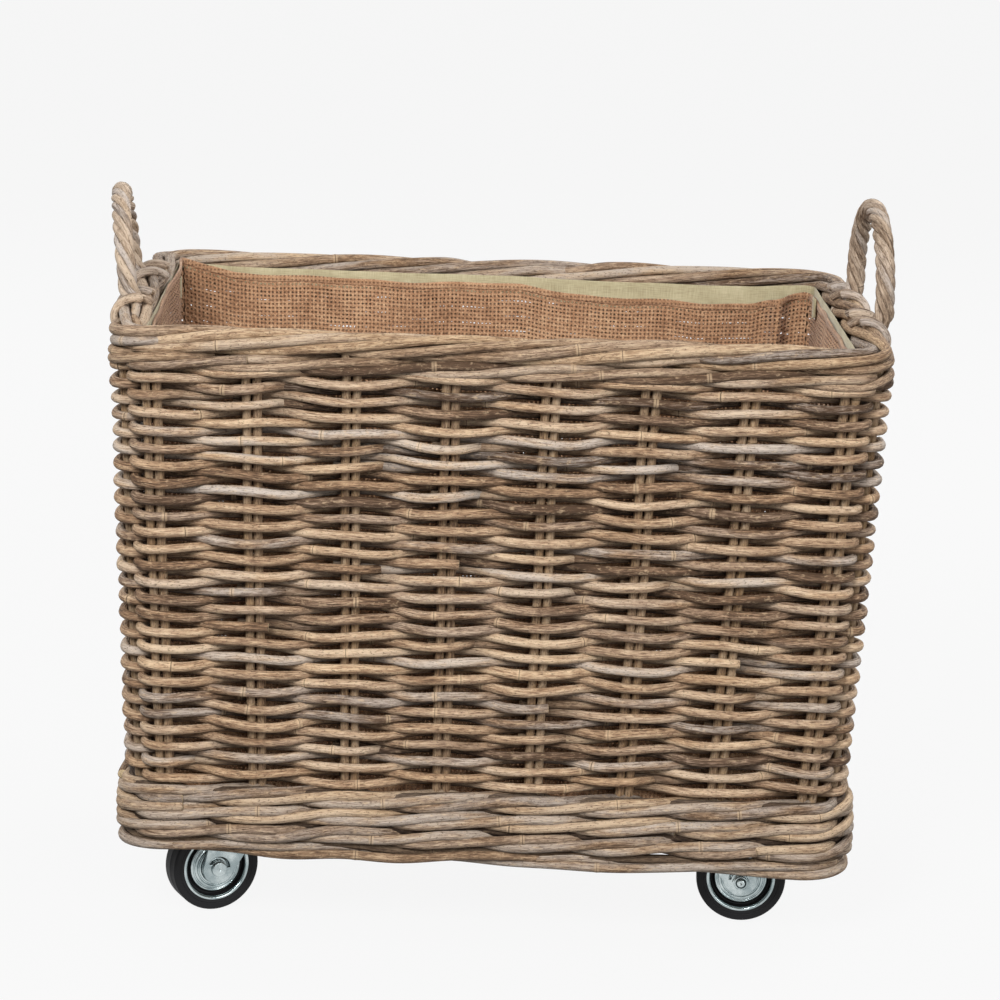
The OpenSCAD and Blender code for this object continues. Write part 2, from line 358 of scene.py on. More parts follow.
@dataclass(frozen=True)
class RattanFinish:
    """Weathered cane: dry bark streaked and cracked along its length, with leaf rings and cut ends."""

    name: str
    # a dark brown used both as painted shade, multiplied in by the depth attribute, and as the dark line of
    # each leaf ring
    painted_shade_and_ring_line: str = "3A2A1E"
    darkest: str = "4E3A2A"
    dark: str = "83664D"
    middle: str = "AE8E6E"
    light: str = "D3B794"
    grey: str = "BEB2A7"
    grey_dark: str = "83776D"
    cut: str = "CDB893"
    roughness: float = 0.72
    bark: float = 0.0011
    streak_scale: tuple[float, float, float] = (26.0, 560.0, 560.0)
    crack_scale: tuple[float, float, float] = (130.0, 1100.0, 1100.0)
    patch_scale: tuple[float, float, float] = (16.0, 90.0, 90.0)
    fleck_scale: tuple[float, float, float] = (420.0, 800.0, 800.0)
    scuff_scale: tuple[float, float, float] = (170.0, 420.0, 420.0)
    pore_scale: float = 1600.0
    # how strongly the depth attribute darkens the cane with painted shade
    painted_shade_strength: float = 0.88

    def make(self) -> bpy.types.Material:
        """Build the material.

        Returns:
            A material that reads the "fibre" and "tone" attributes of a rod bundle, and darkens it by its
            "depth" attribute as painted shade.
        """
        sketch = NodeSketch(self.name)
        fibre = sketch.attribute("fibre", "Vector")
        depth = sketch.attribute("depth", "Fac")
        tint, grey, ring = sketch.split(sketch.attribute("tone", "Color"), "ShaderNodeSeparateColor")
        cut = sketch.attribute("tone", "Alpha")
        streak = sketch.noise(sketch.stretch(fibre, self.streak_scale), 1.0, 4.0, 0.65)
        crack = sketch.streaks(fibre, self.crack_scale)
        patch = sketch.streaks(fibre, self.patch_scale, 0.55)
        fleck = sketch.streaks(fibre, self.fleck_scale)
        scuff = sketch.streaks(fibre, self.scuff_scale)
        value = sketch.sum("ADD", tint, sketch.swing(patch, 1.0))
        value = sketch.sum("ADD", value, sketch.swing(streak, 1.25))
        value = sketch.sum("ADD", value, sketch.swing(crack, 1.9), clamp=True)
        tan = sketch.ramp(value, [(0.0, rgb(self.darkest)), (0.3, rgb(self.dark)),
                                  (0.62, rgb(self.middle)), (1.0, rgb(self.light))])
        ash = sketch.ramp(value, [(0.0, rgb(self.darkest)), (0.3, rgb(self.grey_dark)),
                                  (0.85, rgb(self.grey))])
        worn = sketch.sum("MULTIPLY", grey, sketch.span(patch, 0.28, 0.6), clamp=True)
        colour = sketch.mix(worn, tan, ash)
        colour = sketch.stain(scuff, 0.56, 0.68, 0.45, colour, self.light)
        colour = sketch.stain(fleck, 0.57, 0.65, 0.6, colour, self.darkest)
        colour = sketch.stain(ring, 0.2, 0.5, 0.45, colour, self.light)
        colour = sketch.stain(ring, 0.86, 0.97, 0.85, colour, self.painted_shade_and_ring_line)
        pores = sketch.noise(fibre, self.pore_scale, 2.0, 0.6)
        grain = sketch.mix(sketch.span(pores, 0.5, 0.62), rgb(self.cut), rgb(self.dark))
        colour = sketch.mix(cut, colour, grain)
        # painted shade: the cane is darkened towards the dark brown where the depth attribute is high, deep
        # in the weave and on the lower sides of rods
        colour = sketch.mix(sketch.sum("MULTIPLY", depth, self.painted_shade_strength, clamp=True), colour,
                            rgb(self.painted_shade_and_ring_line), "MULTIPLY")
        height = sketch.sum("ADD", streak, sketch.sum("MULTIPLY", crack, 1.1))
        height = sketch.sum("SUBTRACT", height, sketch.sum("MULTIPLY", sketch.span(fleck, 0.58, 0.68), 0.2))
        sketch.relief(height, self.bark, 1.0)
        sketch.surface(Base_Color=colour, Roughness=self.roughness, Specular_IOR_Level=0.25)
        return sketch.material


@dataclass(frozen=True)
class HessianFinish:
    """Coarse jute cloth: mottled pale yarns, darkened with painted shade at the gaps where the yarns go
    down, and fuzzy all over.
    """

    name: str = "hessian_cloth"
    pitch: float = 0.0035
    # painted shade at the gaps between the yarns
    painted_gap_shade: str = "3E2818"
    dark: str = "76533A"
    middle: str = "A67F60"
    light: str = "CDAB88"

    def make(self) -> bpy.types.Material:
        """Build the material.

        Returns:
            A material that reads the "fibre" attribute for the two directions of yarn.
        """
        sketch = NodeSketch(self.name)
        fibre = sketch.attribute("fibre", "Vector")
        weft = sketch.streaks(fibre, (45.0, 285.0, 0.0))
        warp = sketch.streaks(fibre, (285.0, 45.0, 0.0))
        fuzz = sketch.noise(fibre, 900.0, 4.0, 0.75)
        cloud = sketch.noise(fibre, 14.0, 2.0, 0.5)
        value = sketch.sum("ADD", sketch.sum("MULTIPLY", weft, 0.5), sketch.sum("MULTIPLY", warp, 0.5))
        value = sketch.sum("ADD", value, sketch.swing(fuzz, 1.3))
        value = sketch.sum("ADD", value, sketch.swing(cloud, 0.4), clamp=True)
        colour = sketch.ramp(value, [(0.2, rgb(self.dark)), (0.5, rgb(self.middle)), (0.8, rgb(self.light))])
        # painted shade: the yarns are darkened towards the holes between them, where they pass behind the
        # crossing yarns
        gaps = [sketch.sum("PINGPONG", number, 0.5 * self.pitch) for number in sketch.split(fibre)[:2]]
        far = sketch.sum("DIVIDE", sketch.sum("MULTIPLY", *gaps), 0.25 * self.pitch ** 2)
        ragged = sketch.sum("ADD", far, sketch.swing(fuzz, 1.2))
        colour = sketch.stain(ragged, 0.22, 0.75, 0.72, colour, self.painted_gap_shade)
        sketch.relief(sketch.sum("SUBTRACT", fuzz, sketch.sum("MULTIPLY", ragged, 0.6)), 0.0008, 0.8)
        sketch.surface(Base_Color=colour, Roughness=0.95, Specular_IOR_Level=0.15, Sheen_Weight=0.15,
                       Sheen_Roughness=0.6)
        return sketch.material


@dataclass(frozen=True)
class CottonFinish:
    """Plain sage-green cotton tape with a fine even weave."""

    name: str = "sage_cotton"
    dark: str = "85795A"
    light: str = "BDB494"

    def make(self) -> bpy.types.Material:
        """Build the material.

        Returns:
            A material woven in the directions of the "fibre" attribute.
        """
        sketch = NodeSketch(self.name)
        fibre = sketch.attribute("fibre", "Vector")
        weft = sketch.noise(sketch.stretch(fibre, (90.0, 1500.0, 1.0)), 1.0, 2.0, 0.5)
        warp = sketch.noise(sketch.stretch(fibre, (1500.0, 90.0, 1.0)), 1.0, 2.0, 0.5)
        thread = sketch.sum("MULTIPLY", sketch.sum("ADD", weft, warp), 0.5)
        cloud = sketch.noise(fibre, 30.0, 2.0, 0.5)
        value = sketch.sum("ADD", sketch.sum("MULTIPLY", thread, 0.8), sketch.sum("MULTIPLY", cloud, 0.4))
        colour = sketch.ramp(value, [(0.35, rgb(self.dark)), (0.75, rgb(self.light))])
        sketch.relief(thread, 0.0003, 0.6)
        sketch.surface(Base_Color=colour, Roughness=0.9, Specular_IOR_Level=0.2, Sheen_Weight=0.2,
                       Sheen_Roughness=0.5)
        return sketch.material


@dataclass(frozen=True)
class ZincFinish:
    """Bright zinc plate: a cool metal with faint clouds and fine scratches."""

    name: str
    bright: str = "CFD8D8"
    dull: str = "95A2A4"
    roughness: float = 0.26

    def make(self) -> bpy.types.Material:
        """Build the material.

        Returns:
            The material.
        """
        sketch = NodeSketch(self.name)
        place = sketch.place()
        cloud = sketch.noise(place, 60.0, 4.0, 0.6)
        scratch = sketch.streaks(place, (900.0, 120.0, 900.0), 0.7)
        colour = sketch.mix(sketch.span(cloud, 0.35, 0.7), rgb(self.dull), rgb(self.bright))
        rough = sketch.sum("ADD", self.roughness - 0.08, sketch.sum("MULTIPLY", scratch, 0.2))
        sketch.relief(scratch, 0.0001, 0.25)
        sketch.surface(Base_Color=colour, Metallic=1.0, Roughness=rough)
        return sketch.material


@dataclass(frozen=True)
class RubberFinish:
    """Moulded black rubber with a soft bloom."""

    name: str = "tyre_black"
    dark: str = "0E0E10"
    bloom: str = "1E1E20"

    def make(self) -> bpy.types.Material:
        """Build the material.

        Returns:
            The material.
        """
        sketch = NodeSketch(self.name)
        place = sketch.place()
        bloom = sketch.noise(place, 90.0, 3.0, 0.6)
        pebble = sketch.noise(place, 1800.0, 2.0, 0.6)
        colour = sketch.mix(bloom, rgb(self.dark), rgb(self.bloom))
        rough = sketch.sum("ADD", 0.5, sketch.sum("MULTIPLY", bloom, 0.25))
        sketch.relief(pebble, 0.0002, 0.3)
        sketch.surface(Base_Color=colour, Roughness=rough, Specular_IOR_Level=0.22)
        return sketch.material


@dataclass(frozen=True)
class PlywoodFinish:
    """Birch plywood: long grain on the faces and thin plies on the edges."""

    name: str = "birch_ply"
    ply: float = 0.0024
    grain_dark: str = "B08A5C"
    grain_light: str = "D8B98A"
    ply_light: str = "C9A678"
    ply_dark: str = "7E5E3C"

    def make(self) -> bpy.types.Material:
        """Build the material.

        Returns:
            The material.
        """
        sketch = NodeSketch(self.name)
        place = sketch.place()
        grain = sketch.noise(sketch.stretch(place, (9.0, 160.0, 30.0)), 1.0, 4.0, 0.6)
        face = sketch.ramp(grain, [(0.3, rgb(self.grain_dark)), (0.7, rgb(self.grain_light))])
        layer = sketch.sum("PINGPONG", sketch.split(place)[2], self.ply)
        plies = sketch.span(layer, 0.4 * self.ply, 0.6 * self.ply)
        edge = sketch.mix(plies, rgb(self.ply_light), rgb(self.ply_dark))
        normal = sketch.split(sketch.add("ShaderNodeNewGeometry").outputs["True Normal"])
        flat = sketch.sum("GREATER_THAN", sketch.sum("ABSOLUTE", normal[2]), 0.5)
        sketch.relief(grain, 0.0003, 0.4)
        sketch.surface(Base_Color=sketch.mix(flat, edge, face), Roughness=0.6, Specular_IOR_Level=0.3)
        return sketch.material


# ---------------------------------------------------------------- the plan of the basket


@dataclass(frozen=True)
class StakeLine:
    """The plan of the basket: a rounded rectangle that leans in towards the floor.

    Places along it are lengths from the left end of the front, run to the right and so round the back.
    """

    half_x: float
    half_y: float
    low: float
    high: float
    lean: float = 0.015
    corner: float = 0.026
    long_pairs: int = 8
    short_pairs: int = 6
    pair_reach: float = 1.009

    @property
    def marks(self) -> np.ndarray:
        """The places where the straights and the corners meet.

        Returns:
            Nine places, from 0 to the whole length.
        """
        long_run = 2.0 * (self.half_x - self.corner)
        short_run = 2.0 * (self.half_y - self.corner)
        bend = 0.5 * math.pi * self.corner
        return np.cumsum([0.0, long_run, bend, short_run, bend, long_run, bend, short_run, bend])

    @property
    def length(self) -> float:
        """The whole length of the line."""
        return float(self.marks[-1])

    def stations(self) -> np.ndarray:
        """Find the place of each pair of stakes.

        Returns:
            The places, in order.
        """
        places = []
        for k, count in enumerate((self.long_pairs, self.short_pairs) * 2):
            start, stop = self.marks[2 * k], self.marks[2 * k + 1]
            half = 0.5 * (stop - start) * self.pair_reach
            places.append(0.5 * (start + stop) + half * np.linspace(-1.0, 1.0, count))
        return np.concatenate(places)

    def station(self, index: int) -> float:
        """The place of a pair, counted on past the end of a round."""
        places = self.stations()
        return float(places[index % len(places)] + self.length * (index // len(places)))

    def count(self, s: np.ndarray) -> np.ndarray:
        """How many pairs a place has passed, with a fraction between two pairs.

        Args:
            s: Places along the line, counted on past the end of a round.

        Returns:
            The pair number at each place.
        """
        places = self.stations()
        known = np.concatenate([[places[-1] - self.length], places, [places[0] + self.length]])
        number = np.arange(-1, len(places) + 1)
        return np.interp(np.mod(s, self.length), known, number) + len(places) * np.floor(s / self.length)

    def spots(self, start: float, stop: float, step: float = 0.007) -> np.ndarray:
        """Share out places along a stretch, twice as close round the corners.

        Args:
            start: The first place.
            stop: The last place.
            step: The usual distance between two.

        Returns:
            The places, in order.
        """
        marks = self.marks
        runs = [np.arange(marks[k], marks[k + 1] - 0.3 * step, step if k % 2 == 0 else 0.5 * step)
                for k in range(len(marks) - 1)]
        once = np.concatenate(runs)
        rounds = range(math.floor(start / self.length), math.floor(stop / self.length) + 1)
        every = np.concatenate([once + self.length * n for n in rounds])
        inside = every[(every > start + 0.3 * step) & (every < stop - 0.3 * step)]
        return np.concatenate([[start], inside, [stop]])

    def at(self, s: np.ndarray, z: np.ndarray, out: np.ndarray, level: float | None = None) -> np.ndarray:
        """Points off the line.

        Args:
            s: Places along it.
            z: Heights above the floor.
            out: Distances outside it.
            level: The height whose plan is followed, where it isn't each point's own.

        Returns:
            One point to a row.
        """
        s, z, out = np.broadcast_arrays(np.asarray(s, float), z, out)
        marks, along = self.marks, np.mod(s, self.length)
        end_x = np.interp(along, marks, [-1, 1, 1, 1, 1, -1, -1, -1, -1])
        end_y = np.interp(along, marks, [-1, -1, -1, 1, 1, 1, 1, -1, -1])
        turn = np.radians(np.interp(along, marks, [-90, -90, 0, 0, 90, 90, 180, 180, 270]))
        draw_in = self.lean * (self.high - (z if level is None else level)) / (self.high - self.low)
        x = end_x * (self.half_x - draw_in - self.corner) + (self.corner + out) * np.cos(turn)
        y = end_y * (self.half_y - draw_in - self.corner) + (self.corner + out) * np.sin(turn)
        return np.stack([x, y, z], axis=-1)


@dataclass(frozen=True)
class Droop:
    """A stretch of a band that has worked loose and hangs lower, most of all at its bottom edge."""

    line: StakeLine
    size: float
    low: float
    high: float

    def at(self, s: np.ndarray, z: float) -> np.ndarray:
        """How far a rod hangs down at places along the line.

        Args:
            s: Places along it.
            z: The height that the rod is meant to keep.

        Returns:
            Distances down.
        """
        marks = self.line.marks
        share = np.interp(np.mod(s, self.line.length), [0.0, marks[1], marks[3], marks[4], self.line.length],
                          [0.05, 1.0, 0.8, 0.4, 0.05])
        return self.size * share * np.clip((self.high - z) / (self.high - self.low), 0.0, 1.0)


class Wander:
    """Slow waves round the basket, which pull neighbouring rods up or down together."""

    def __init__(self, seed: int, length: float, size: float, waves: int = 14,
                 droop: Droop | None = None) -> None:
        """Draw the waves.

        Args:
            seed: Makes the draw the same each time.
            length: The length of one round.
            size: The usual height of the sum.
            waves: How many there are.
            droop: A place where the rods hang lower, if there is one.
        """
        self.droop = droop
        rng = np.random.default_rng(seed)
        self.turns = TAU * rng.integers(3, 24, waves) / length
        self.rise = rng.uniform(-90.0, 90.0, waves)
        self.phase = rng.uniform(0.0, TAU, waves)
        self.size = size * math.sqrt(2.0 / waves) * rng.uniform(0.6, 1.4, waves)

    def at(self, s: np.ndarray, z: float) -> np.ndarray:
        """The pull on a rod.

        Args:
            s: Places along the line.
            z: The height that the rod is meant to keep.

        Returns:
            Distances up.
        """
        angle = self.turns[:, None] * s[None, :] + self.rise[:, None] * z + self.phase[:, None]
        waves = (self.size[:, None] * np.sin(angle)).sum(axis=0)
        return waves if self.droop is None else waves - self.droop.at(s, z)


# ---------------------------------------------------------------- rods of cane


@dataclass
class Rod:
    """One rod of cane: the line it follows, its radius, its tone, and how much painted shade it gets for
    lying deep in the weave.
    """

    path: np.ndarray
    radius: np.ndarray | float
    tint: float
    grey: float
    facing: tuple[float, float, float] = UP
    depth: np.ndarray | float = 0.0


@dataclass
class RodBundle:
    """Rods gathered into one mesh, with leaf rings along them, slightly rounded cut ends, and painted shade
    on their lower sides and deep parts.
    """

    name: str
    slot: Slot
    seed: int
    sides: int = 12
    ring_gap: tuple[float, float] = (0.13, 0.30)
    ring_spots: tuple[float, ...] = (-0.003, -0.0012, 0.0, 0.0012, 0.003)
    ring_width: float = 0.0017
    ring_swell: float = 0.075
    lump: float = 0.022
    squash: float = 0.03
    cap_reach: float = 0.12
    cap_share: float = 0.86
    # painted shade on the lower side of each rod, the side away from its facing
    painted_underside_shade: float = 0.36
    verts: list[np.ndarray] = field(default_factory=list)
    fibres: list[np.ndarray] = field(default_factory=list)
    tones: list[np.ndarray] = field(default_factory=list)
    painted_shades: list[np.ndarray] = field(default_factory=list)
    corners: list[np.ndarray] = field(default_factory=list)
    sizes: list[np.ndarray] = field(default_factory=list)
    used: int = 0

    def __post_init__(self) -> None:
        """Start the bundle's own random draws."""
        self.rng = np.random.default_rng(self.seed)

    def leaf_rings(self, length: float) -> np.ndarray:
        """Draw the places of the leaf rings along a rod.

        Args:
            length: The rod's length.

        Returns:
            The places, in order.
        """
        spots = self.rng.uniform(0.02, self.ring_gap[1]) + np.cumsum(
            self.rng.uniform(*self.ring_gap, int(length / self.ring_gap[0]) + 1))
        return spots[spots < length - 0.004]

    def add(self, rod: Rod) -> None:
        """Sweep a rod into the mesh.

        Args:
            rod: The rod, whose path has at least three points.
        """
        gaps = np.linalg.norm(np.diff(rod.path, axis=0), axis=1)
        along = np.concatenate([[0.0], np.cumsum(gaps)])
        rings = self.leaf_rings(along[-1])
        near = (rings[:, None] + np.array(self.ring_spots)).ravel()
        stops = np.unique(np.concatenate([along, near[(near > 0.001) & (near < along[-1] - 0.001)]]))
        stops = stops[np.concatenate([[True], np.diff(stops) > 0.0004])]
        centre = np.stack([np.interp(stops, along, rod.path[:, k]) for k in range(3)], axis=1)
        radius = np.interp(stops, along, np.broadcast_to(rod.radius, along.shape))
        ring = np.zeros(len(stops))
        for spot in rings:
            ring = np.maximum(ring, np.exp(-((stops - spot) / self.ring_width) ** 2))
        lumps = self.lump * np.sin(stops * self.rng.uniform(55.0, 90.0) + self.rng.uniform(0.0, TAU))
        radius = radius * (1.0 + self.ring_swell * ring + lumps)
        tangent = np.gradient(centre, stops, axis=0)
        tangent /= np.linalg.norm(tangent, axis=1, keepdims=True)
        facing = np.broadcast_to(np.asarray(rod.facing, float), tangent.shape)
        over = facing - (facing * tangent).sum(axis=1, keepdims=True) * tangent
        over /= np.linalg.norm(over, axis=1, keepdims=True)
        beside = np.cross(tangent, over)
        cap = self.cap_reach * radius
        first, last = centre[:1] - cap[0] * tangent[:1], centre[-1:] + cap[-1] * tangent[-1:]
        centre = np.concatenate([first, centre, last])
        depth = np.interp(stops, along, np.broadcast_to(rod.depth, along.shape))
        over, beside, stops, ring, radius, depth = (
            np.concatenate([values[:1], values, values[-1:]])
            for values in (over, beside, stops, ring, radius, depth))
        radius[[0, -1]] *= self.cap_share
        self._sweep(centre, over, beside, radius, stops, ring, depth, rod)

    def _sweep(self, centre: np.ndarray, over: np.ndarray, beside: np.ndarray, radius: np.ndarray,
               stops: np.ndarray, ring: np.ndarray, depth: np.ndarray, rod: Rod) -> None:
        """Add the rings, the faces between them and the two cut faces.

        Args:
            centre: The middle of each ring.
            over: The first direction across each ring.
            beside: The second direction across each ring.
            radius: Each ring's radius.
            stops: Each ring's place along the rod.
            ring: How near each is to a leaf ring.
            depth: How much painted shade each ring gets for lying deep in the weave.
            rod: The rod itself.
        """
        count, sides = len(centre), self.sides
        angle = TAU * np.arange(sides) / sides
        squash = 1.0 + self.squash * np.cos(2.0 * angle + self.rng.uniform(0.0, TAU))
        cos, sin = np.cos(angle) * squash, np.sin(angle) * squash
        across = radius[:, None]
        verts = (centre[:, None] + (across * cos)[..., None] * over[:, None]
                 + (across * sin)[..., None] * beside[:, None]).reshape(-1, 3)
        offset = self.rng.uniform(0.0, 40.0)
        fibre = np.stack([np.repeat(stops + offset, sides), (across * cos).ravel() + offset,
                          (across * sin).ravel()], axis=1)
        tone = np.tile([rod.tint, rod.grey, 0.0, 0.0], (count * sides, 1))
        tone[:, 2] = np.repeat(ring, sides)
        tone[:sides, 3] = 1.0
        tone[-sides:, 3] = 1.0
        # painted shade: each rod is darkened on its lower side and where it lies deep in the weave, through
        # the depth attribute
        below = self.painted_underside_shade * ease(-cos)
        deep = np.clip(depth[:, None] + below[None, :], 0.0, 1.0).ravel()
        row = np.arange(count - 1)[:, None] * sides
        here, after = np.arange(sides)[None, :], (np.arange(sides) + 1)[None, :] % sides
        quads = np.stack([row + here, row + after, row + sides + after, row + sides + here], axis=-1)
        first, last = np.arange(sides), (count - 1) * sides + np.arange(sides)
        hubs = count * sides + np.arange(2)
        start_fan = np.stack([np.roll(first, -1), first, np.full(sides, hubs[0])], axis=-1)
        end_fan = np.stack([last, np.roll(last, -1), np.full(sides, hubs[1])], axis=-1)
        self.verts.append(np.concatenate([verts, centre[[0, -1]]]))
        self.fibres.append(np.concatenate([fibre, [[stops[0] + offset, offset, 0.0],
                                                   [stops[-1] + offset, offset, 0.0]]]))
        self.tones.append(np.concatenate([tone, [[rod.tint, rod.grey, 0.0, 1.0]] * 2]))
        self.painted_shades.append(np.concatenate([deep, depth[[0, -1]]]))
        self.corners += [faces.ravel() + self.used for faces in (quads, start_fan, end_fan)]
        self.sizes += [np.full(quads.size // 4, 4), np.full(2 * sides, 3)]
        self.used += count * sides + 2

    def build(self, material: bpy.types.Material, *nodes: str) -> None:
        """Make the piece, which rides on the basket.

        Args:
            material: Its finish.
            *nodes: The CAD nodes that it stands for.
        """
        mesh = faces_to_mesh(self.name, np.concatenate(self.verts), np.concatenate(self.corners),
                             np.concatenate(self.sizes))
        lay_attribute(mesh, "fibre", "FLOAT_VECTOR", "vector", np.concatenate(self.fibres))
        lay_attribute(mesh, "tone", "FLOAT_COLOR", "color", np.concatenate(self.tones))
        lay_attribute(mesh, "depth", "FLOAT", "value", np.concatenate(self.painted_shades))
        put(mesh, BASKET, self.slot, material, *nodes)


def faces_to_mesh(name: str, verts: np.ndarray, corners: np.ndarray, sizes: np.ndarray) -> bpy.types.Mesh:
    """Make a smooth mesh from arrays.

    Args:
        name: The mesh's name.
        verts: Its points, one to a row.
        corners: The points of all the faces, one face after another.
        sizes: How many points each face has.

    Returns:
        The mesh.
    """
    mesh = bpy.data.meshes.new(name)
    mesh.vertices.add(len(verts))
    mesh.vertices.foreach_set("co", verts.astype(np.float32).ravel())
    mesh.loops.add(len(corners))
    mesh.loops.foreach_set("vertex_index", corners.astype(np.int32))
    mesh.polygons.add(len(sizes))
    mesh.polygons.foreach_set("loop_start", np.concatenate([[0], np.cumsum(sizes)[:-1]]).astype(np.int32))
    mesh.update(calc_edges=True)
    mesh.shade_smooth()
    return mesh


def lay_attribute(mesh: bpy.types.Mesh, name: str, kind: str, part: str, values: np.ndarray) -> None:
    """Store a value at every point of a mesh.

    Args:
        mesh: The mesh.
        name: The attribute's name.
        kind: Its data type.
        part: The name of its values' field.
        values: One row to a point.
    """
    attribute = mesh.attributes.new(name, kind, "POINT")
    attribute.data.foreach_set(part, values.astype(np.float32).ravel())


@dataclass(frozen=True)
class CanePicker:
    """How tan, dark and grey the rods of one part of the basket are."""

    grey_share: float = 0.25
    dark_share: float = 0.12
    middle: float = 0.60
    spread: float = 0.18
    darker: float = 0.3

    def pick(self, rng: np.random.Generator) -> tuple[float, float]:
        """Draw the tone of a rod.

        Args:
            rng: The draws of the bundle that it joins.

        Returns:
            Its tint and its greyness, from 0 to 1.
        """
        tint = rng.normal(self.middle, self.spread)
        if rng.random() < self.dark_share:
            tint -= self.darker
        grey = rng.uniform(0.7, 1.0) if rng.random() < self.grey_share else rng.uniform(0.0, 0.45)
        return float(np.clip(tint, 0.05, 0.98)), float(grey)


# ---------------------------------------------------------------- the woven walls


@dataclass
class Weave:
    """The siding: rods woven in front of one pair of stakes and behind the next."""

    line: StakeLine
    rod: float = 0.0039
    stake: float = 0.00375
    pitch: float = 0.0069
    bands: int = 5
    seed: int = 7
    lap: float = 0.014
    tucked_share: float = 0.8
    tucked_laps: float = 2.2
    tucked_wave: float = -0.75
    wander: float = 0.0009
    wobble: float = 0.0003
    # painted shade: how much darker a rod is made where it runs behind the stakes
    shade: float = 0.62

    def row(self, bundle: RodBundle, wander: Wander, picker: CanePicker, number: int) -> None:
        """Weave one row from two rods, one after the other.

        Args:
            bundle: The mesh that it joins.
            wander: The slow pull up and down.
            picker: Draws each rod's tone.
            number: The row, counted from the bottom.
        """
        pairs = len(self.line.stations())
        rng = bundle.rng
        first = 2 * int(rng.integers(0, pairs // 2)) + number % 2
        split = 2 * int(rng.integers(5, 9))
        for start, stop in ((first, first + split), (first + split, first + pairs)):
            self._rod(bundle, wander, picker, number, start, stop)

    def _rod(self, bundle: RodBundle, wander: Wander, picker: CanePicker, number: int,
             start: int, stop: int) -> None:
        """Weave one rod from one pair to another.

        It starts tucked behind its first pair, and most rods are tucked in again past their last.

        Args:
            bundle: The mesh that it joins.
            wander: The slow pull up and down.
            picker: Draws its tone.
            number: The row.
            start: The pair that it starts behind.
            stop: The pair that it ends in front of.
        """
        line, rng = self.line, bundle.rng
        low = line.station(start) - self.lap
        tucked = rng.random() < self.tucked_share
        high = line.station(stop) + (self.tucked_laps if tucked else rng.uniform(0.5, 1.0)) * self.lap
        spots = line.spots(low, high)
        turn = math.pi * (line.count(spots) + number)
        wave = (np.cos(turn) - 0.1 * np.cos(3.0 * turn)) / 0.9
        begin = ease((spots - line.station(start)) / (line.station(start + 1) - line.station(start)))
        wave = wave * begin - (1.0 - begin)
        end = ease((spots - line.station(stop)) / (self.tucked_laps * self.lap if tucked else self.lap))
        wave = wave * (1.0 - end) + (self.tucked_wave if tucked else 1.0) * end
        base = self.rod * rng.uniform(0.93, 1.07)
        radius = base * (0.95 + 0.05 * np.abs(wave))
        wobble = self.wobble * np.sin(spots * rng.uniform(60.0, 110.0) + rng.uniform(0.0, TAU))
        pull = wander.at(spots, self.pitch * number)
        z = line.low + 0.5 * self.pitch + self.pitch * number + pull + wobble
        path = line.at(spots, z, (self.stake + base) * wave)
        tint, grey = picker.pick(rng)
        # painted shade: the rod is darkened where it passes behind a pair of stakes
        bundle.add(Rod(path, radius, tint, grey, depth=self.shade * ease(0.3 - 0.7 * wave)))

    def build(self, material: bpy.types.Material) -> None:
        """Weave the whole siding, in bands that go all the way round.

        Args:
            material: The finish of its rods.
        """
        rows = round((self.line.high - self.line.low - 0.004) / self.pitch)
        wander = Wander(self.seed, self.line.length, self.wander)
        picker = CanePicker()
        per_band = rows // self.bands
        for band in range(self.bands):
            bundle = RodBundle(f"weave_band_{band + 1}", Slot.SIDING, self.seed + band)
            for number in range(band * per_band, (band + 1) * per_band):
                self.row(bundle, wander, picker, number)
            bundle.build(material, *(f"siding_{side}" for side in SIDES))


@dataclass
class Stakes:
    """The upright rods, in pairs, from the foot band up into the rim."""

    line: StakeLine
    radius: float = 0.00375
    gap: float = 0.001
    sway: float = 0.0004
    # painted shade laid evenly on every stake
    shade: float = 0.08
    seed: int = 41

    def build(self, material: bpy.types.Material) -> None:
        """Set up the stakes of each wall as one piece.

        Args:
            material: Their finish.
        """
        line = self.line
        offset = self.radius + 0.5 * self.gap
        starts = np.cumsum([0, line.long_pairs, line.short_pairs, line.long_pairs])
        walls = dict(zip(("front", "right", "back", "left"), starts))
        for side, start in walls.items():
            low, high = (corner.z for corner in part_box(f"stakes_{side}"))
            is_long = side in ("front", "back")
            count = line.long_pairs if is_long else line.short_pairs
            facing = (0.0, 1.0, 0.0) if is_long else (1.0, 0.0, 0.0)
            bundle = RodBundle(f"uprights_{side}", Slot.STAKE, self.seed + int(start), ring_gap=(0.09, 0.22),
                               painted_underside_shade=0.0)
            for index in range(start, start + count):
                for hand in (-1.0, 1.0):
                    heights = np.linspace(low + 0.001, high - 0.001, 40)
                    sway = self.sway * np.sin(heights * bundle.rng.uniform(20.0, 50.0) + index)
                    place = line.station(index) + hand * offset + sway
                    path = line.at(place, heights, np.zeros_like(heights))
                    tint = float(np.clip(bundle.rng.normal(0.55, 0.1), 0.0, 1.0))
                    radius = self.radius * bundle.rng.uniform(0.94, 1.04)
                    bundle.add(Rod(path, radius, tint, 0.2, facing, self.shade))
            bundle.build(material, f"stakes_{side}")


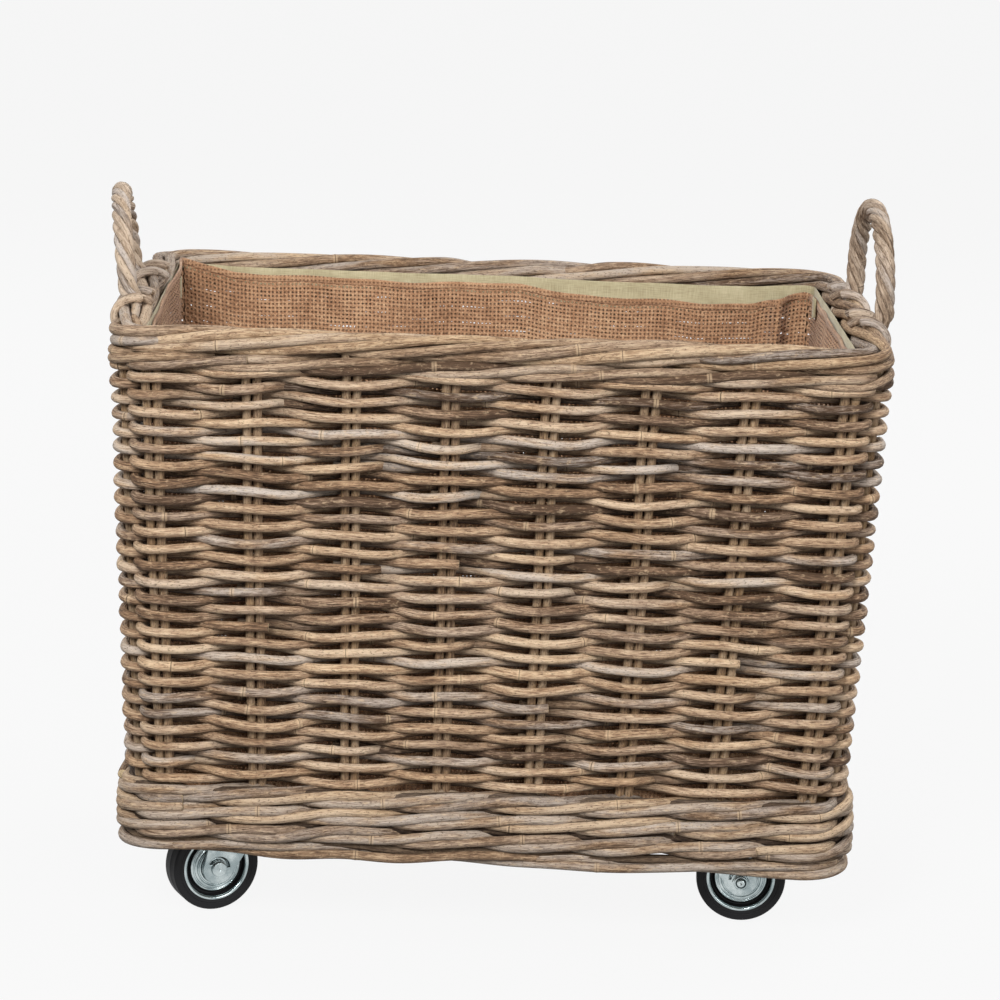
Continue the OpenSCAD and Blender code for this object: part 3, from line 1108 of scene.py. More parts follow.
@dataclass
class Winding:
    """Rods wound side by side round a band's middle, like a rope with a long lay."""

    line: StakeLine
    strands: int
    turns: int
    out: float
    height: float
    half_width: float
    half_height: float
    rod: float
    level: float | None = None
    run: tuple[float, float] = (0.42, 0.72)
    # painted shade laid evenly on every rod of the winding
    depth: float = 0.0
    lap: float = 0.012
    tuck_run: float = 0.045

    def add_to(self, bundle: RodBundle, picker: CanePicker, wander: Wander) -> None:
        """Wind all the rods.

        Args:
            bundle: The mesh that they join.
            picker: Draws each rod's tone.
            wander: The slow pull up and down.
        """
        rng = bundle.rng
        total = self.strands * self.line.length
        place = 0.0
        while place < total:
            stop = place + rng.uniform(*self.run)
            stop = total if total - stop < self.run[0] else stop
            spots = self.line.spots(place, stop + self.lap)
            turn = TAU * self.turns * spots / (self.strands * self.line.length)
            into = ease((spots - place) / self.tuck_run)
            away = ease((stop + self.lap - spots) / self.tuck_run)
            tuck = np.minimum(into, away)
            reach = 0.3 + 0.7 * tuck
            radius = self.rod * rng.uniform(0.9, 1.08)
            lift = 1.0 + 0.05 * np.sin(spots * rng.uniform(8.0, 20.0) + rng.uniform(0.0, TAU))
            out = self.out + self.half_width * reach * lift * np.cos(turn)
            z = self.height + self.half_height * reach * lift * np.sin(turn)
            z = z + wander.at(spots, self.height)
            tint, grey = picker.pick(rng)
            bundle.add(Rod(self.line.at(spots, z, out, self.level), radius * (0.9 + 0.1 * tuck), tint, grey,
                           depth=self.depth))
            place = stop


@dataclass
class Wale:
    """A row of three rods, each laid in front of two pairs of stakes and behind the third."""

    line: StakeLine
    height: float
    outside: float
    inside: float
    rod: float
    step: float
    level: float | None = None
    run: tuple[float, float] = (0.8, 1.5)
    lap: float = 0.012
    tuck_run: float = 0.04
    # painted shade: how much darker a rod is made where it runs behind the stakes
    shade: float = 0.55

    def add_to(self, bundle: RodBundle, picker: CanePicker, wander: Wander) -> None:
        """Lay the three rods, each going on where another ends its round.

        Args:
            bundle: The mesh that they join.
            picker: Draws each rod's tone.
            wander: The slow pull up and down.
        """
        rng = bundle.rng
        shift = int(rng.integers(0, 3))
        total = 3.0 * self.line.length
        place = 0.0
        while place < total:
            stop = place + rng.uniform(*self.run)
            stop = total if total - stop < self.run[0] else stop
            spots = self.line.spots(place, stop + self.lap)
            phase = np.mod(self.line.count(spots) - shift, 3.0)
            off = np.minimum(phase, 3.0 - phase)
            forward = ease((off - 0.12) / 0.75)
            out = self.inside + (self.outside - self.inside) * forward
            rise = np.where(phase > 0.5, ease((phase - 0.85) / 1.3), 1.0 - ease(phase / 0.5))
            rise = np.where(phase > 2.5, 1.0, rise)
            z = self.height + self.step * (rise - 0.5) + wander.at(spots, self.height)
            tuck = ease((spots - place) / self.tuck_run)
            out = out - self.rod * (1.0 - tuck)
            tint, grey = picker.pick(rng)
            radius = self.rod * rng.uniform(0.94, 1.06) * (0.9 + 0.1 * tuck)
            # painted shade: darker where the rod runs behind a pair of stakes
            bundle.add(Rod(self.line.at(spots, z, out, self.level), radius, tint, grey,
                           depth=self.shade * (1.0 - forward)))
            place = stop


@dataclass
class Rim:
    """The top of the basket: a wound border over one three-rod wale."""

    line: StakeLine
    top: float
    wale_rise: float = 0.0022
    border_drop: float = 0.0110
    wander: float = 0.0005
    seed: int = 81

    def build(self, material: bpy.types.Material) -> None:
        """Lay the wale and wind the border.

        Args:
            material: The finish of their rods.
        """
        line, height = self.line, self.top - self.border_drop
        wander = Wander(self.seed, line.length, self.wander)
        nodes = tuple(f"rim_{side}" for side in SIDES)
        wale = RodBundle("rim_wale", Slot.BORDER, self.seed)
        rods = Wale(line, line.high + self.wale_rise, outside=0.0082, inside=-0.0076, rod=0.0039,
                    step=0.0076)
        rods.add_to(wale, CanePicker(), wander)
        wale.build(material, *nodes)
        border = RodBundle("rim_border", Slot.BORDER, self.seed + 3)
        wound = Winding(line, 5, 26, RIM_MIDDLE, height, half_width=0.0094, half_height=0.0070, rod=0.0042,
                        level=line.high, run=(0.55, 0.95))
        wound.add_to(border, CanePicker(grey_share=0.4, dark_share=0.15), wander)
        # the core rod inside the border is made dark, with dark tints and a high depth, as painted shade
        # between the wound rods
        core = Winding(line, 1, 0, RIM_MIDDLE, height, half_width=0.0, half_height=0.0, rod=0.0060,
                       level=line.high, run=(0.9, 1.4), depth=0.9)
        core.add_to(border, CanePicker(grey_share=0.0, dark_share=1.0), wander)
        border.build(material, *nodes)


@dataclass
class Foot:
    """The foot band: three wales round the edge of the board, packed behind, and a twist below them."""

    line: StakeLine
    low: float
    level: float
    droop: float = 0.0075
    wander: float = 0.0006
    packing_rods: int = 6
    seed: int = 121

    def build(self, material: bpy.types.Material) -> None:
        """Lay the packing rods, the wales and the bottom twist.

        Args:
            material: The finish of their rods.
        """
        line, low = self.line, self.low
        droop = Droop(line, self.droop, low + 0.008, line.low - 0.004)
        wander = Wander(self.seed, line.length, self.wander, droop=droop)
        nodes = tuple(f"foot_{side}" for side in SIDES)
        picker = CanePicker(grey_share=0.42, dark_share=0.14)
        packing = RodBundle("foot_packing", Slot.BORDER, self.seed, sides=8)
        # the packing rods behind the wales are made dark, with dark tints and a high depth, as painted shade
        for height in np.linspace(low + 0.012, line.low - 0.006, self.packing_rods):
            rods = Winding(line, 1, 0, 0.0085, float(height), half_width=0.0, half_height=0.0, rod=0.0044,
                           level=self.level, run=(1.0, 1.6), depth=0.8)
            rods.add_to(packing, CanePicker(grey_share=0.0, dark_share=1.0), wander)
        packing.build(material, *nodes)
        wales = ((low + 0.0225, 0.0158), (low + 0.0375, 0.0158), (line.low - 0.0085, 0.0148))
        for number, (height, outside) in enumerate(wales):
            band = RodBundle(f"foot_wale_{number + 1}", Slot.BORDER, self.seed + 5 + number)
            rods = Wale(line, height, outside, inside=0.002, rod=0.0041, step=0.0078, level=self.level)
            rods.add_to(band, picker, wander)
            band.build(material, *nodes)
        twist = RodBundle("foot_twist", Slot.BORDER, self.seed + 9)
        rods = Winding(line, 2, 9, 0.0105, low + 0.0081, half_width=0.0042, half_height=0.0036, rod=0.0043,
                       level=self.level, run=(0.6, 1.1))
        rods.add_to(twist, picker, wander)
        twist.build(material, *nodes)


# ---------------------------------------------------------------- the handles


@dataclass
class Handle:
    """A handle: an arch of laid rope, splayed where it meets the rim, with rods lashed over its feet.

    The lashings are given as the first and the last angle round the rim, and the shift along it.
    """

    side: str
    line: StakeLine
    rim_top: float
    lean: float
    swivel: float
    offset: float
    height: float
    half_gap: float = 0.070
    strands: int = 5
    strand: float = 0.0031
    rope: float = 0.0083
    lay: float = 0.064
    below: float = 0.022
    splay_run: float = 0.034
    splay: tuple[float, float] = (0.25, 0.9)
    core: float = 0.0034
    palest: float = 0.5
    facing: tuple[float, float, float] = (1.0, 0.0, 0.15)
    lashings: tuple[tuple[float, float, float], ...] = (
        (-0.75, 2.5, -0.019), (-0.9, 2.15, 0.013), (-0.5, 2.3, 0.022), (-0.7, 1.9, -0.030))
    lashing_rod: float = 0.0033
    lashing_drop: float = 0.0104
    lashing_reach: tuple[float, float] = (0.0088 + 0.0043 + 0.0026, 0.0060 + 0.0043 + 0.0028)
    seed: int = 201

    @property
    def sign(self) -> float:
        """Which way is out: -1 on the left, 1 on the right."""
        return -1.0 if self.side == "left" else 1.0

    def to_basket(self, points: np.ndarray) -> np.ndarray:
        """Move points from the handle's own frame, with its foot at the origin, to the rim.

        Args:
            points: Rows of out, along the rim and up.

        Returns:
            The points in the frame of the whole part.
        """
        foot = self.sign * (self.line.half_x + self.offset)
        turn = Matrix.Rotation(self.sign * self.lean, 3, "Y")
        twist = Matrix.Rotation(self.swivel, 3, "Z")
        turned = points @ np.array(twist @ turn).T
        return turned + np.array([foot, 0.0, self.rim_top])

    def rope_line(self) -> tuple[np.ndarray, np.ndarray, np.ndarray]:
        """The middle line of the rope.

        Returns:
            Its points, the directions along it, and how far along it each point is.
        """
        leg = self.height - self.half_gap - self.rope + self.below
        arch = math.pi * self.half_gap
        along = np.linspace(0.0, 2.0 * leg + arch, 110)
        bend = np.clip((along - leg) / self.half_gap, 0.0, math.pi)
        up = np.minimum(along, leg) - np.maximum(along - leg - arch, 0.0) - self.below
        inward = -self.sign * self.offset * ease((0.008 - up) / 0.028)
        points = np.stack([inward, -self.half_gap * np.cos(bend), up + self.half_gap * np.sin(bend)], axis=1)
        ahead = np.stack([np.zeros_like(along), np.sin(bend), np.cos(bend)], axis=1)
        return points, ahead, along

    def build(self, material: bpy.types.Material) -> None:
        """Lay the strands of the rope round a core, then lash its feet.

        Args:
            material: The finish of the rope and the lashings.
        """
        bundle = RodBundle(f"rope_{self.side}", Slot.HANDLE, self.seed, ring_gap=(0.05, 0.16), painted_underside_shade=0.0)
        picker = CanePicker(grey_share=0.45, dark_share=0.05)
        points, ahead, along = self.rope_line()
        out = np.array([1.0, 0.0, 0.0])
        across = np.cross(ahead, out)
        foot = ease(1.0 - np.minimum(along, along[-1] - along) / self.splay_run)
        spread = self.rope - self.strand
        deep, wide = (spread * (1.0 + splay * foot) for splay in self.splay)
        for number in range(self.strands):
            angle = TAU * (number / self.strands - along / self.lay)
            path = points + (deep * np.cos(angle))[:, None] * out
            path = path + (wide * np.sin(angle))[:, None] * across
            tint, grey = picker.pick(bundle.rng)
            radius = self.strand * bundle.rng.uniform(0.94, 1.06)
            bundle.add(Rod(self.to_basket(path), radius, max(tint, self.palest), grey, self.facing))
        # the core of the rope is made dark, with a low tint and a high depth, as painted shade between the
        # strands
        bundle.add(Rod(self.to_basket(points), self.core, 0.2, 0.2, self.facing, 0.9))
        bundle.build(material, f"handle_{self.side}")
        self.lash(material)

    def lash(self, material: bpy.types.Material) -> None:
        """Lay short rods over the rim on both sides of each foot.

        Args:
            material: Their finish.
        """
        bundle = RodBundle(f"lashing_{self.side}", Slot.HANDLE, self.seed + 1, ring_gap=(0.03, 0.12),
                           painted_underside_shade=0.0)
        picker = CanePicker(grey_share=0.5, dark_share=0.05)
        wide, high = self.lashing_reach
        for hand in (-1.0, 1.0):
            for start, stop, shift in self.lashings:
                turn = np.linspace(start, stop, 26)
                rise = (turn - start) / (stop - start)
                slant = shift + 0.017 * (rise - 0.5) + bundle.rng.uniform(-0.002, 0.002)
                reach = 1.0 - 0.28 * ease(1.0 - rise / 0.12)
                y = hand * self.half_gap + slant
                x = self.sign * (self.line.half_x + RIM_MIDDLE + wide * reach * np.cos(turn))
                z = self.rim_top - self.lashing_drop + high * reach * np.sin(turn)
                tint, grey = picker.pick(bundle.rng)
                bundle.add(Rod(np.stack([x, y, z], axis=1), self.lashing_rod, max(tint, self.palest), grey,
                               (0.0, 1.0, 0.0)))
        bundle.build(material, f"handle_wraps_{self.side}")


# ---------------------------------------------------------------- the liner


@dataclass
class Cloth:
    """An open-woven cloth, made of crossing flat yarns with real holes between them."""

    pitch: float = 0.0035
    cover: float = 0.68
    relief: float = 0.0006
    yarn_spread: float = 0.16
    spot_spread: float = 0.13
    drift: float = 0.14
    seed: int = 300

    def grid(self, name: str, columns: int, rows: int, place: Surface) -> bpy.types.Mesh:
        """Weave a cloth over a surface.

        Args:
            name: The mesh's name.
            columns: How many upright yarns there are.
            rows: How many level yarns there are.
            place: Turns arrays of yarn numbers, across and up, into points and normals.

        Returns:
            The mesh, with its own directions in the "fibre" attribute.
        """
        rng = np.random.default_rng(self.seed)
        i, j = np.meshgrid(np.arange(columns), np.arange(rows), indexing="ij")
        upright = 0.5 * self.cover * (1.0 + self.yarn_spread * rng.standard_normal((columns, 1))
                                      + self.spot_spread * rng.standard_normal((columns, rows)))
        level = 0.5 * self.cover * (1.0 + self.yarn_spread * rng.standard_normal((1, rows))
                                    + self.spot_spread * rng.standard_normal((columns, rows)))
        upright, level = np.clip(upright, 0.2, 0.41), np.clip(1.06 * level, 0.2, 0.43)
        drift = np.clip(0.5 * rng.standard_normal((2, columns, rows)), -1.0, 1.0) * self.drift
        signs = np.array([[-1, -1], [1, -1], [1, 1], [-1, 1]])
        across = i[..., None] + drift[0][..., None] + signs[:, 0] * upright[..., None]
        up = j[..., None] + drift[1][..., None] + signs[:, 1] * level[..., None]
        points, normals = place(across.ravel(), up.ravel())
        lift = self.relief * np.repeat(np.where((i + j) % 2 == 0, 1.0, -1.0).ravel(), 4)
        points = points + lift[:, None] * normals
        index = 4 * (i * rows + j)
        cross = np.stack([index, index + 1, index + 2, index + 3], axis=-1).reshape(-1, 4)
        a, b = index[:-1], index[1:]
        weft = np.stack([a + 1, b, b + 3, a + 2], axis=-1).reshape(-1, 4)
        a, b = index[:, :-1], index[:, 1:]
        warp = np.stack([a + 3, a + 2, b + 1, b], axis=-1).reshape(-1, 4)
        quads = np.concatenate([cross, weft, warp])
        mesh = faces_to_mesh(name, points, quads.ravel(), np.full(len(quads), 4))
        fibre = self.pitch * np.stack([across.ravel(), up.ravel(), np.zeros(across.size)], axis=1)
        lay_attribute(mesh, "fibre", "FLOAT_VECTOR", "vector", fibre)
        return mesh


@dataclass
class Liner:
    """The hessian bag inside the basket, with its sage band and tape ties."""

    line: StakeLine
    floor: float
    hem: float
    cloth: Cloth = field(default_factory=Cloth)
    inset: float = 0.0158
    band_inset: float = 0.0149
    lift: float = 0.001
    turned_in: float = 0.014

    def hem_height(self, s: np.ndarray) -> np.ndarray:
        """The height of the cloth's top edge, which is pulled up most at the back left corner.

        Args:
            s: Places along the stake line.

        Returns:
            Heights above the floor.
        """
        marks = self.line.marks
        long_run, short_run = marks[1], marks[3] - marks[2]
        back, left, right = marks[4], marks[6], marks[2]
        known = [(0.0, 0.016), (0.5 * long_run, 0.010), (long_run, 0.015), (right + 0.5 * short_run, 0.018),
                 (back, 0.016), (back + 0.04 * long_run, 0.0135), (back + 0.08 * long_run, 0.006),
                 (back + 0.16 * long_run, 0.0045), (back + 0.33 * long_run, 0.007),
                 (back + 0.46 * long_run, 0.0155), (back + 0.83 * long_run, 0.0165),
                 (back + 0.93 * long_run, 0.019), (back + long_run, 0.029), (left, 0.030),
                 (left + 0.5 * short_run, 0.023), (self.line.length, 0.016)]
        places, heights = zip(*known)
        waves = 0.0009 * np.sin(s * 41.0) + 0.0006 * np.sin(s * 97.0 + 1.0)
        return self.hem + np.interp(np.mod(s, self.line.length), places, heights) + waves

    def slack(self, s: np.ndarray, rise: np.ndarray) -> np.ndarray:
        """How far the cloth hangs in from the wall: soft dents, and one pleat by the back right corner.

        Args:
            s: Places along the stake line.
            rise: Heights from 0 at the floor to 1 at the hem.

        Returns:
            Distances inwards.
        """
        dents = (np.sin(s * 23.0 + 2.1 * rise) * np.sin(s * 11.0 + 5.0 * rise + 1.0)) ** 2
        pleat = np.exp(-((np.mod(s, self.line.length) - self.line.marks[4] - 0.021) / 0.0075) ** 2)
        return 0.0035 * dents * ease(4.0 * rise) + 0.017 * pleat * ease((rise - 0.25) / 0.5)

    def wall(self, side: str, start: float, stop: float, material: bpy.types.Material) -> None:
        """Hang one wall of the bag.

        Args:
            side: The wall's name.
            start: The place where it starts.
            stop: The place where it ends.
            material: The hessian.
        """
        line, pitch = self.line, self.cloth.pitch
        fine = np.linspace(start, stop, 800)
        flat = line.at(fine, np.full(800, self.hem), np.full(800, -self.inset))
        run = np.concatenate([[0.0], np.cumsum(np.linalg.norm(np.diff(flat, axis=0), axis=1))])
        tall = self.hem + self.turned_in - self.floor
        columns, rows = round(run[-1] / pitch), round(tall / pitch)

        def place(across: np.ndarray, up: np.ndarray) -> tuple[np.ndarray, np.ndarray]:
            """Find points of the wall.

            Args:
                across: Numbers of upright yarns, with fractions.
                up: Numbers of level yarns, with fractions.

            Returns:
                The points and the inward normals there.
            """
            s = np.interp((across + 0.5) / columns * run[-1], run, fine)
            rise = np.clip((up + 0.5) / rows, 0.0, 1.0)
            z = self.floor + self.lift + rise * (self.hem_height(s) - self.floor - self.lift)
            inset = self.inset + self.slack(s, rise)
            points = line.at(s, z, -inset)
            inward = line.at(s, z, -inset - 0.001) - points
            return points, inward / np.linalg.norm(inward, axis=1, keepdims=True)

        mesh = self.cloth.grid(f"hessian_{side}", columns, rows, place)
        piece = put(mesh, BASKET, Slot.HESSIAN, material, "liner_bag")

    def bottom(self, material: bpy.types.Material) -> None:
        """Lay the bottom of the bag on the base board.

        Args:
            material: The hessian.
        """
        pitch, marks = self.cloth.pitch, self.line.marks
        middles = np.array([0.5 * marks[1], 0.5 * (marks[2] + marks[3])])
        reach = self.line.at(middles, np.full(2, self.floor), np.full(2, -self.inset - 0.001))
        half_x, half_y = reach[1, 0], -reach[0, 1]
        columns, rows = round(2.0 * half_x / pitch), round(2.0 * half_y / pitch)

        def place(across: np.ndarray, up: np.ndarray) -> tuple[np.ndarray, np.ndarray]:
            """Find points of the bottom.

            Args:
                across: Numbers of the yarns that run from front to back, with fractions.
                up: Numbers of the yarns that run from end to end, with fractions.

            Returns:
                The points and the upward normals there.
            """
            x = (2.0 * (across + 0.5) / columns - 1.0) * half_x
            y = (2.0 * (up + 0.5) / rows - 1.0) * half_y
            ripple = 0.5 + 0.5 * np.sin(21.0 * x + 9.0 * y) * np.sin(17.0 * y - 6.0 * x)
            points = np.stack([x, y, self.floor + self.lift + 0.0014 * ripple], axis=1)
            return points, np.broadcast_to(np.array(UP), points.shape)

        mesh = self.cloth.grid("hessian_bottom", columns, rows, place)
        piece = put(mesh, BASKET, Slot.HESSIAN, material, "liner_bag")

    def ribbon(self, name: str, path: np.ndarray, low: np.ndarray, high: np.ndarray, inward: np.ndarray,
               thick: float) -> bpy.types.Mesh:
        """Make a thin upright strip of cloth with rounded edges.

        Args:
            name: The mesh's name.
            path: The strip's line in plan, one point to a row.
            low: The height of its bottom edge at each point.
            high: The height of its top edge at each point.
            inward: The level direction across it at each point.
            thick: Its thickness.

        Returns:
            The mesh, with its own directions in the "fibre" attribute.
        """
        half = 0.5 * thick
        turn = np.radians([180, 180, 180, 180, 135, 90, 45, 0, 0, 0, 0, -45, -90, -135])
        share = np.array([0.0, 0.33, 0.67, 1.0, 1.0, 1.0, 1.0, 1.0, 0.67, 0.33, 0.0, 0.0, 0.0, 0.0])
        count = len(turn)
        at_edge = np.isin(share, (0.0, 1.0))
        rise = low[:, None] + half + share * (high - low - thick)[:, None] + half * np.sin(turn) * at_edge
        verts = path[:, None] + (half * np.cos(turn))[None, :, None] * inward[:, None]
        verts[..., 2] = rise
        along = np.concatenate([[0.0], np.cumsum(np.linalg.norm(np.diff(path, axis=0), axis=1))])
        fibre = np.stack([np.repeat(along, count), rise.ravel(), np.zeros(rise.size)], axis=1)
        row, here = np.arange(len(path) - 1)[:, None] * count, np.arange(count)[None, :]
        after = (here + 1) % count
        quads = np.stack([row + here, row + after, row + count + after, row + count + here], axis=-1)
        ends = np.stack([np.arange(count)[::-1], (len(path) - 1) * count + np.arange(count)])
        mesh = faces_to_mesh(name, verts.reshape(-1, 3), np.concatenate([quads.ravel(), ends.ravel()]),
                             np.concatenate([np.full(quads.size // 4, 4), [count, count]]))
        lay_attribute(mesh, "fibre", "FLOAT_VECTOR", "vector", fibre)
        return mesh

    def strip(self, name: str, slot: Slot, material: bpy.types.Material, node: str, inset: float,
              low: float, high: float, thick: float, follow: float) -> bpy.types.Object:
        """Run a strip of cloth all the way round, just outside or inside the hem.

        Args:
            name: The piece's name.
            slot: The slot of its finish.
            material: Its finish.
            node: The CAD node that it stands for.
            inset: How far in from the stake line it is.
            low: The bottom edge, up from the hem.
            high: The top edge, up from the hem.
            thick: Its thickness.
            follow: How much of the hem's rise and fall its top edge follows.

        Returns:
            The piece.
        """
        line = self.line
        s = line.spots(0.0, line.length - 0.001, 0.006)
        hem = self.hem_height(s)
        top = self.hem + high + follow * (hem - self.hem)
        bottom = np.minimum(hem + low, top - 2.5 * thick)
        inset_here = inset + self.slack(s, np.ones_like(s)) * (1.0 if slot is Slot.HESSIAN else 0.0)
        path = line.at(s, 0.5 * (top + bottom), -inset_here)
        inward = line.at(s, 0.5 * (top + bottom), -inset_here - 0.001) - path
        inward /= np.linalg.norm(inward, axis=1, keepdims=True)
        return put(self.ribbon(name, path, bottom, top, inward, thick), BASKET, slot, material, node)

    def ties(self, material: bpy.types.Material) -> list[bpy.types.Object]:
        """Sew a tape tie near each corner of the two ends.

        Args:
            material: The cotton.

        Returns:
            The four ties.
        """
        pieces = []
        low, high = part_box("liner_ties")
        count, half_wide, thick = 8, 0.0075, 0.0012
        bow = 0.0012 * np.sin(np.linspace(0.0, 3.0, count))
        tail = low.z + 0.001 + 0.0015 * np.cos(np.linspace(0.0, 5.0, count))
        for across in (-1.0, 1.0):
            for along in (-1.0, 1.0):
                y = along * (high.y - 0.008) + np.linspace(-half_wide, half_wide, count)
                path = np.stack([across * (high.x - 0.0022 - bow), y, np.zeros(count)], axis=1)
                inward = np.tile([-across, 0.0, 0.0], (count, 1))
                name = f"tie_{'left' if across < 0 else 'right'}_{'front' if along < 0 else 'back'}"
                mesh = self.ribbon(name, path, tail, np.full(count, high.z - 0.001), inward, thick)
                pieces.append(put(mesh, BASKET, Slot.COTTON, material, "liner_ties"))
        return pieces

    def build(self, hessian: bpy.types.Material, cotton: bpy.types.Material) -> None:
        """Hang the bag, then sew on its hem, band and ties.

        Args:
            hessian: The bag's finish.
            cotton: The band's and the ties' finish.
        """
        marks = self.line.marks
        corners = [0.5 * (marks[k] + marks[k + 1]) for k in (7, 1, 3, 5)]
        starts = [corners[0] - self.line.length, *corners[1:], corners[0]]
        for side, start, stop in zip(("front", "right", "back", "left"), starts, starts[1:]):
            self.wall(side, start, stop, hessian)
        self.bottom(hessian)
        hem = self.strip("hessian_hem", Slot.HESSIAN, hessian, "liner_bag", self.inset + 0.0004, low=-0.0045,
                         high=0.0012, thick=0.0024, follow=1.0)
        band = self.strip("sage_band", Slot.COTTON, cotton, "liner_band", self.band_inset, low=-0.008,
                          high=0.0205, thick=0.0009, follow=0.22)
        self.ties(cotton)


# ---------------------------------------------------------------- the castors


@dataclass
class Castor:
    """A swivel castor: pressed fork, dished wheel, rubber tyre, axle bolt and lock nut."""

    corner: str
    trail: float = 0.030
    wheel: float = 0.0375
    seat: float = 0.0288
    tyre_half: float = 0.0115
    shoulder: float = 0.0042
    fork_gap: float = 0.014
    sheet: float = 0.0025
    crown: float = 0.084
    leg_end: float = 0.0135
    groove: tuple[float, float] = (0.0226, 0.0256)
    bolt: float = 0.0039
    thread_pitch: float = 0.0008
    bore: float = 0.00405
    nut: float = 0.0073

    def __post_init__(self) -> None:
        """Find the swivel, and which way the wheel trails, from the joints."""
        joints = {joint["name"]: joint for joint in frame["joints"]}
        swivel = Vector(joints[f"swivel_{self.corner}"]["pos_m"])
        axle = Vector(joints[f"roll_{self.corner}"]["pos_m"])
        heading = math.atan2(axle.y - swivel.y, axle.x - swivel.x)
        turn = Matrix.Rotation(heading, 4, "Z")
        self.at_swivel = Matrix.Translation((swivel.x, swivel.y, 0.0)) @ turn
        self.at_axle = Matrix.Translation(axle) @ turn

    def lathe(self, name: str, outline: list[tuple[float, float]], steps: int = 96,
              closed: bool = True) -> bpy.types.Mesh:
        """Turn an outline round the axle.

        Args:
            name: The mesh's name.
            outline: Radii and distances along the axle, in order round the section.
            steps: How many steps there are to a turn.
            closed: Join the last point to the first.

        Returns:
            The mesh.
        """
        radius, along = (np.array(part) for part in zip(*outline))
        angle = TAU * np.arange(steps) / steps
        verts = np.stack([radius[None, :] * np.cos(angle)[:, None], np.tile(along, (steps, 1)),
                          radius[None, :] * np.sin(angle)[:, None]], axis=-1).reshape(-1, 3)
        count = len(outline)
        row = np.arange(steps)[:, None] * count
        after_row = (np.arange(steps)[:, None] + 1) % steps * count
        here = np.arange(count if closed else count - 1)[None, :]
        after = (here + 1) % count
        quads = np.stack([row + here, after_row + here, after_row + after, row + after], axis=-1)
        corners, sizes = [quads.ravel()], [np.full(quads.size // 4, 4)]
        if not closed:
            for spot, flip in ((0, 1), (count - 1, -1)):
                corners.append((np.arange(steps) * count + spot)[::flip])
                sizes.append(np.array([steps]))
        mesh = faces_to_mesh(name, verts, np.concatenate(corners), np.concatenate(sizes))
        mesh.transform(self.at_axle)
        return mesh

    def rounded(self, points: list[tuple[float, float, float]]) -> list[tuple[float, float]]:
        """Round the corners of an outline.

        Args:
            points: Radius, distance along the axle, and the rounding of that corner.

        Returns:
            The outline, with each rounded corner as a short arc.
        """
        outline = []
        for k, (radius, along, size) in enumerate(points):
            here = np.array([radius, along])
            if size <= 0.0:
                outline.append((radius, along))
                continue
            before = np.array(points[k - 1][:2]) - here
            after = np.array(points[(k + 1) % len(points)][:2]) - here
            reach = min(size, 0.48 * np.linalg.norm(before), 0.48 * np.linalg.norm(after))
            p, q = (here + reach * v / np.linalg.norm(v) for v in (before, after))
            for t in np.linspace(0.0, 1.0, 6):
                spot = (1 - t) ** 2 * p + 2 * t * (1 - t) * here + t ** 2 * q
                outline.append((float(spot[0]), float(spot[1])))
        return outline

    def make_tyre(self, material: bpy.types.Material) -> None:
        """Mould the tyre, with a raised parting line and a shallow groove beside each shoulder.

        Args:
            material: Its finish.
        """
        half, wheel, seat = self.tyre_half, self.wheel, self.seat
        side = [(seat, -half + 0.0004, 0.0004), (wheel - 0.0062, -half, 0.0006),
                (wheel - 0.0058, -half + 0.0004, 0.0003), (wheel - 0.0053, -half, 0.0004),
                (wheel, -half, self.shoulder * 1.5)]
        crown = [(wheel - 0.00015, -0.0006, 0.0), (wheel, -0.0003, 0.0), (wheel, 0.0003, 0.0),
                 (wheel - 0.00015, 0.0006, 0.0)]
        mirror = [(radius, -along, size) for radius, along, size in reversed(side)]
        mesh = self.lathe(f"tyre_rubber_{self.corner}", self.rounded(side + crown + mirror))
        put(mesh, f"wheel_{self.corner}", Slot.RUBBER, material, f"tyre_{self.corner}")

    def make_disc(self, material: bpy.types.Material, groove: bpy.types.Material) -> None:
        """Press the wheel: a dished face with rings, a groove, and a bright rolled lip.

        Args:
            material: The finish of the pressing.
            groove: The finish of the rubber that fills the groove.
        """
        face = [(0.00405, 0.0134, 0.0003), (0.0090, 0.0134, 0.0010), (0.0097, 0.0114, 0.0008),
                (0.0119, 0.0114, 0.0004), (0.0124, 0.0103, 0.0003), (0.0132, 0.0103, 0.0003),
                (0.0138, 0.0111, 0.0005), (0.0150, 0.0108, 0.0004), (0.0155, 0.0096, 0.0003),
                (0.0163, 0.0096, 0.0003), (0.0169, 0.0104, 0.0005), (0.0186, 0.0099, 0.0004),
                (0.0191, 0.0089, 0.0003), (0.0198, 0.0089, 0.0003), (0.0204, 0.0094, 0.0004),
                (0.0220, 0.0086, 0.0012), (0.0232, 0.0046, 0.0010), (0.0252, 0.0046, 0.0008),
                (0.0259, 0.0104, 0.0012), (0.0272, 0.0116, 0.0010), (self.seat, 0.0112, 0.0004)]
        back = [(radius, -along, size) for radius, along, size in reversed(face)]
        mesh = self.lathe(f"wheel_pressing_{self.corner}", self.rounded(face + back))
        piece = put(mesh, f"wheel_{self.corner}", Slot.WHEEL, material, f"wheel_disc_{self.corner}")
        piece.data.materials.append(groove)
        for polygon in piece.data.polygons:
            middle = self.at_axle.inverted() @ polygon.center
            if self.groove[0] < math.hypot(middle.x, middle.z) < self.groove[1]:
                polygon.material_index = 1

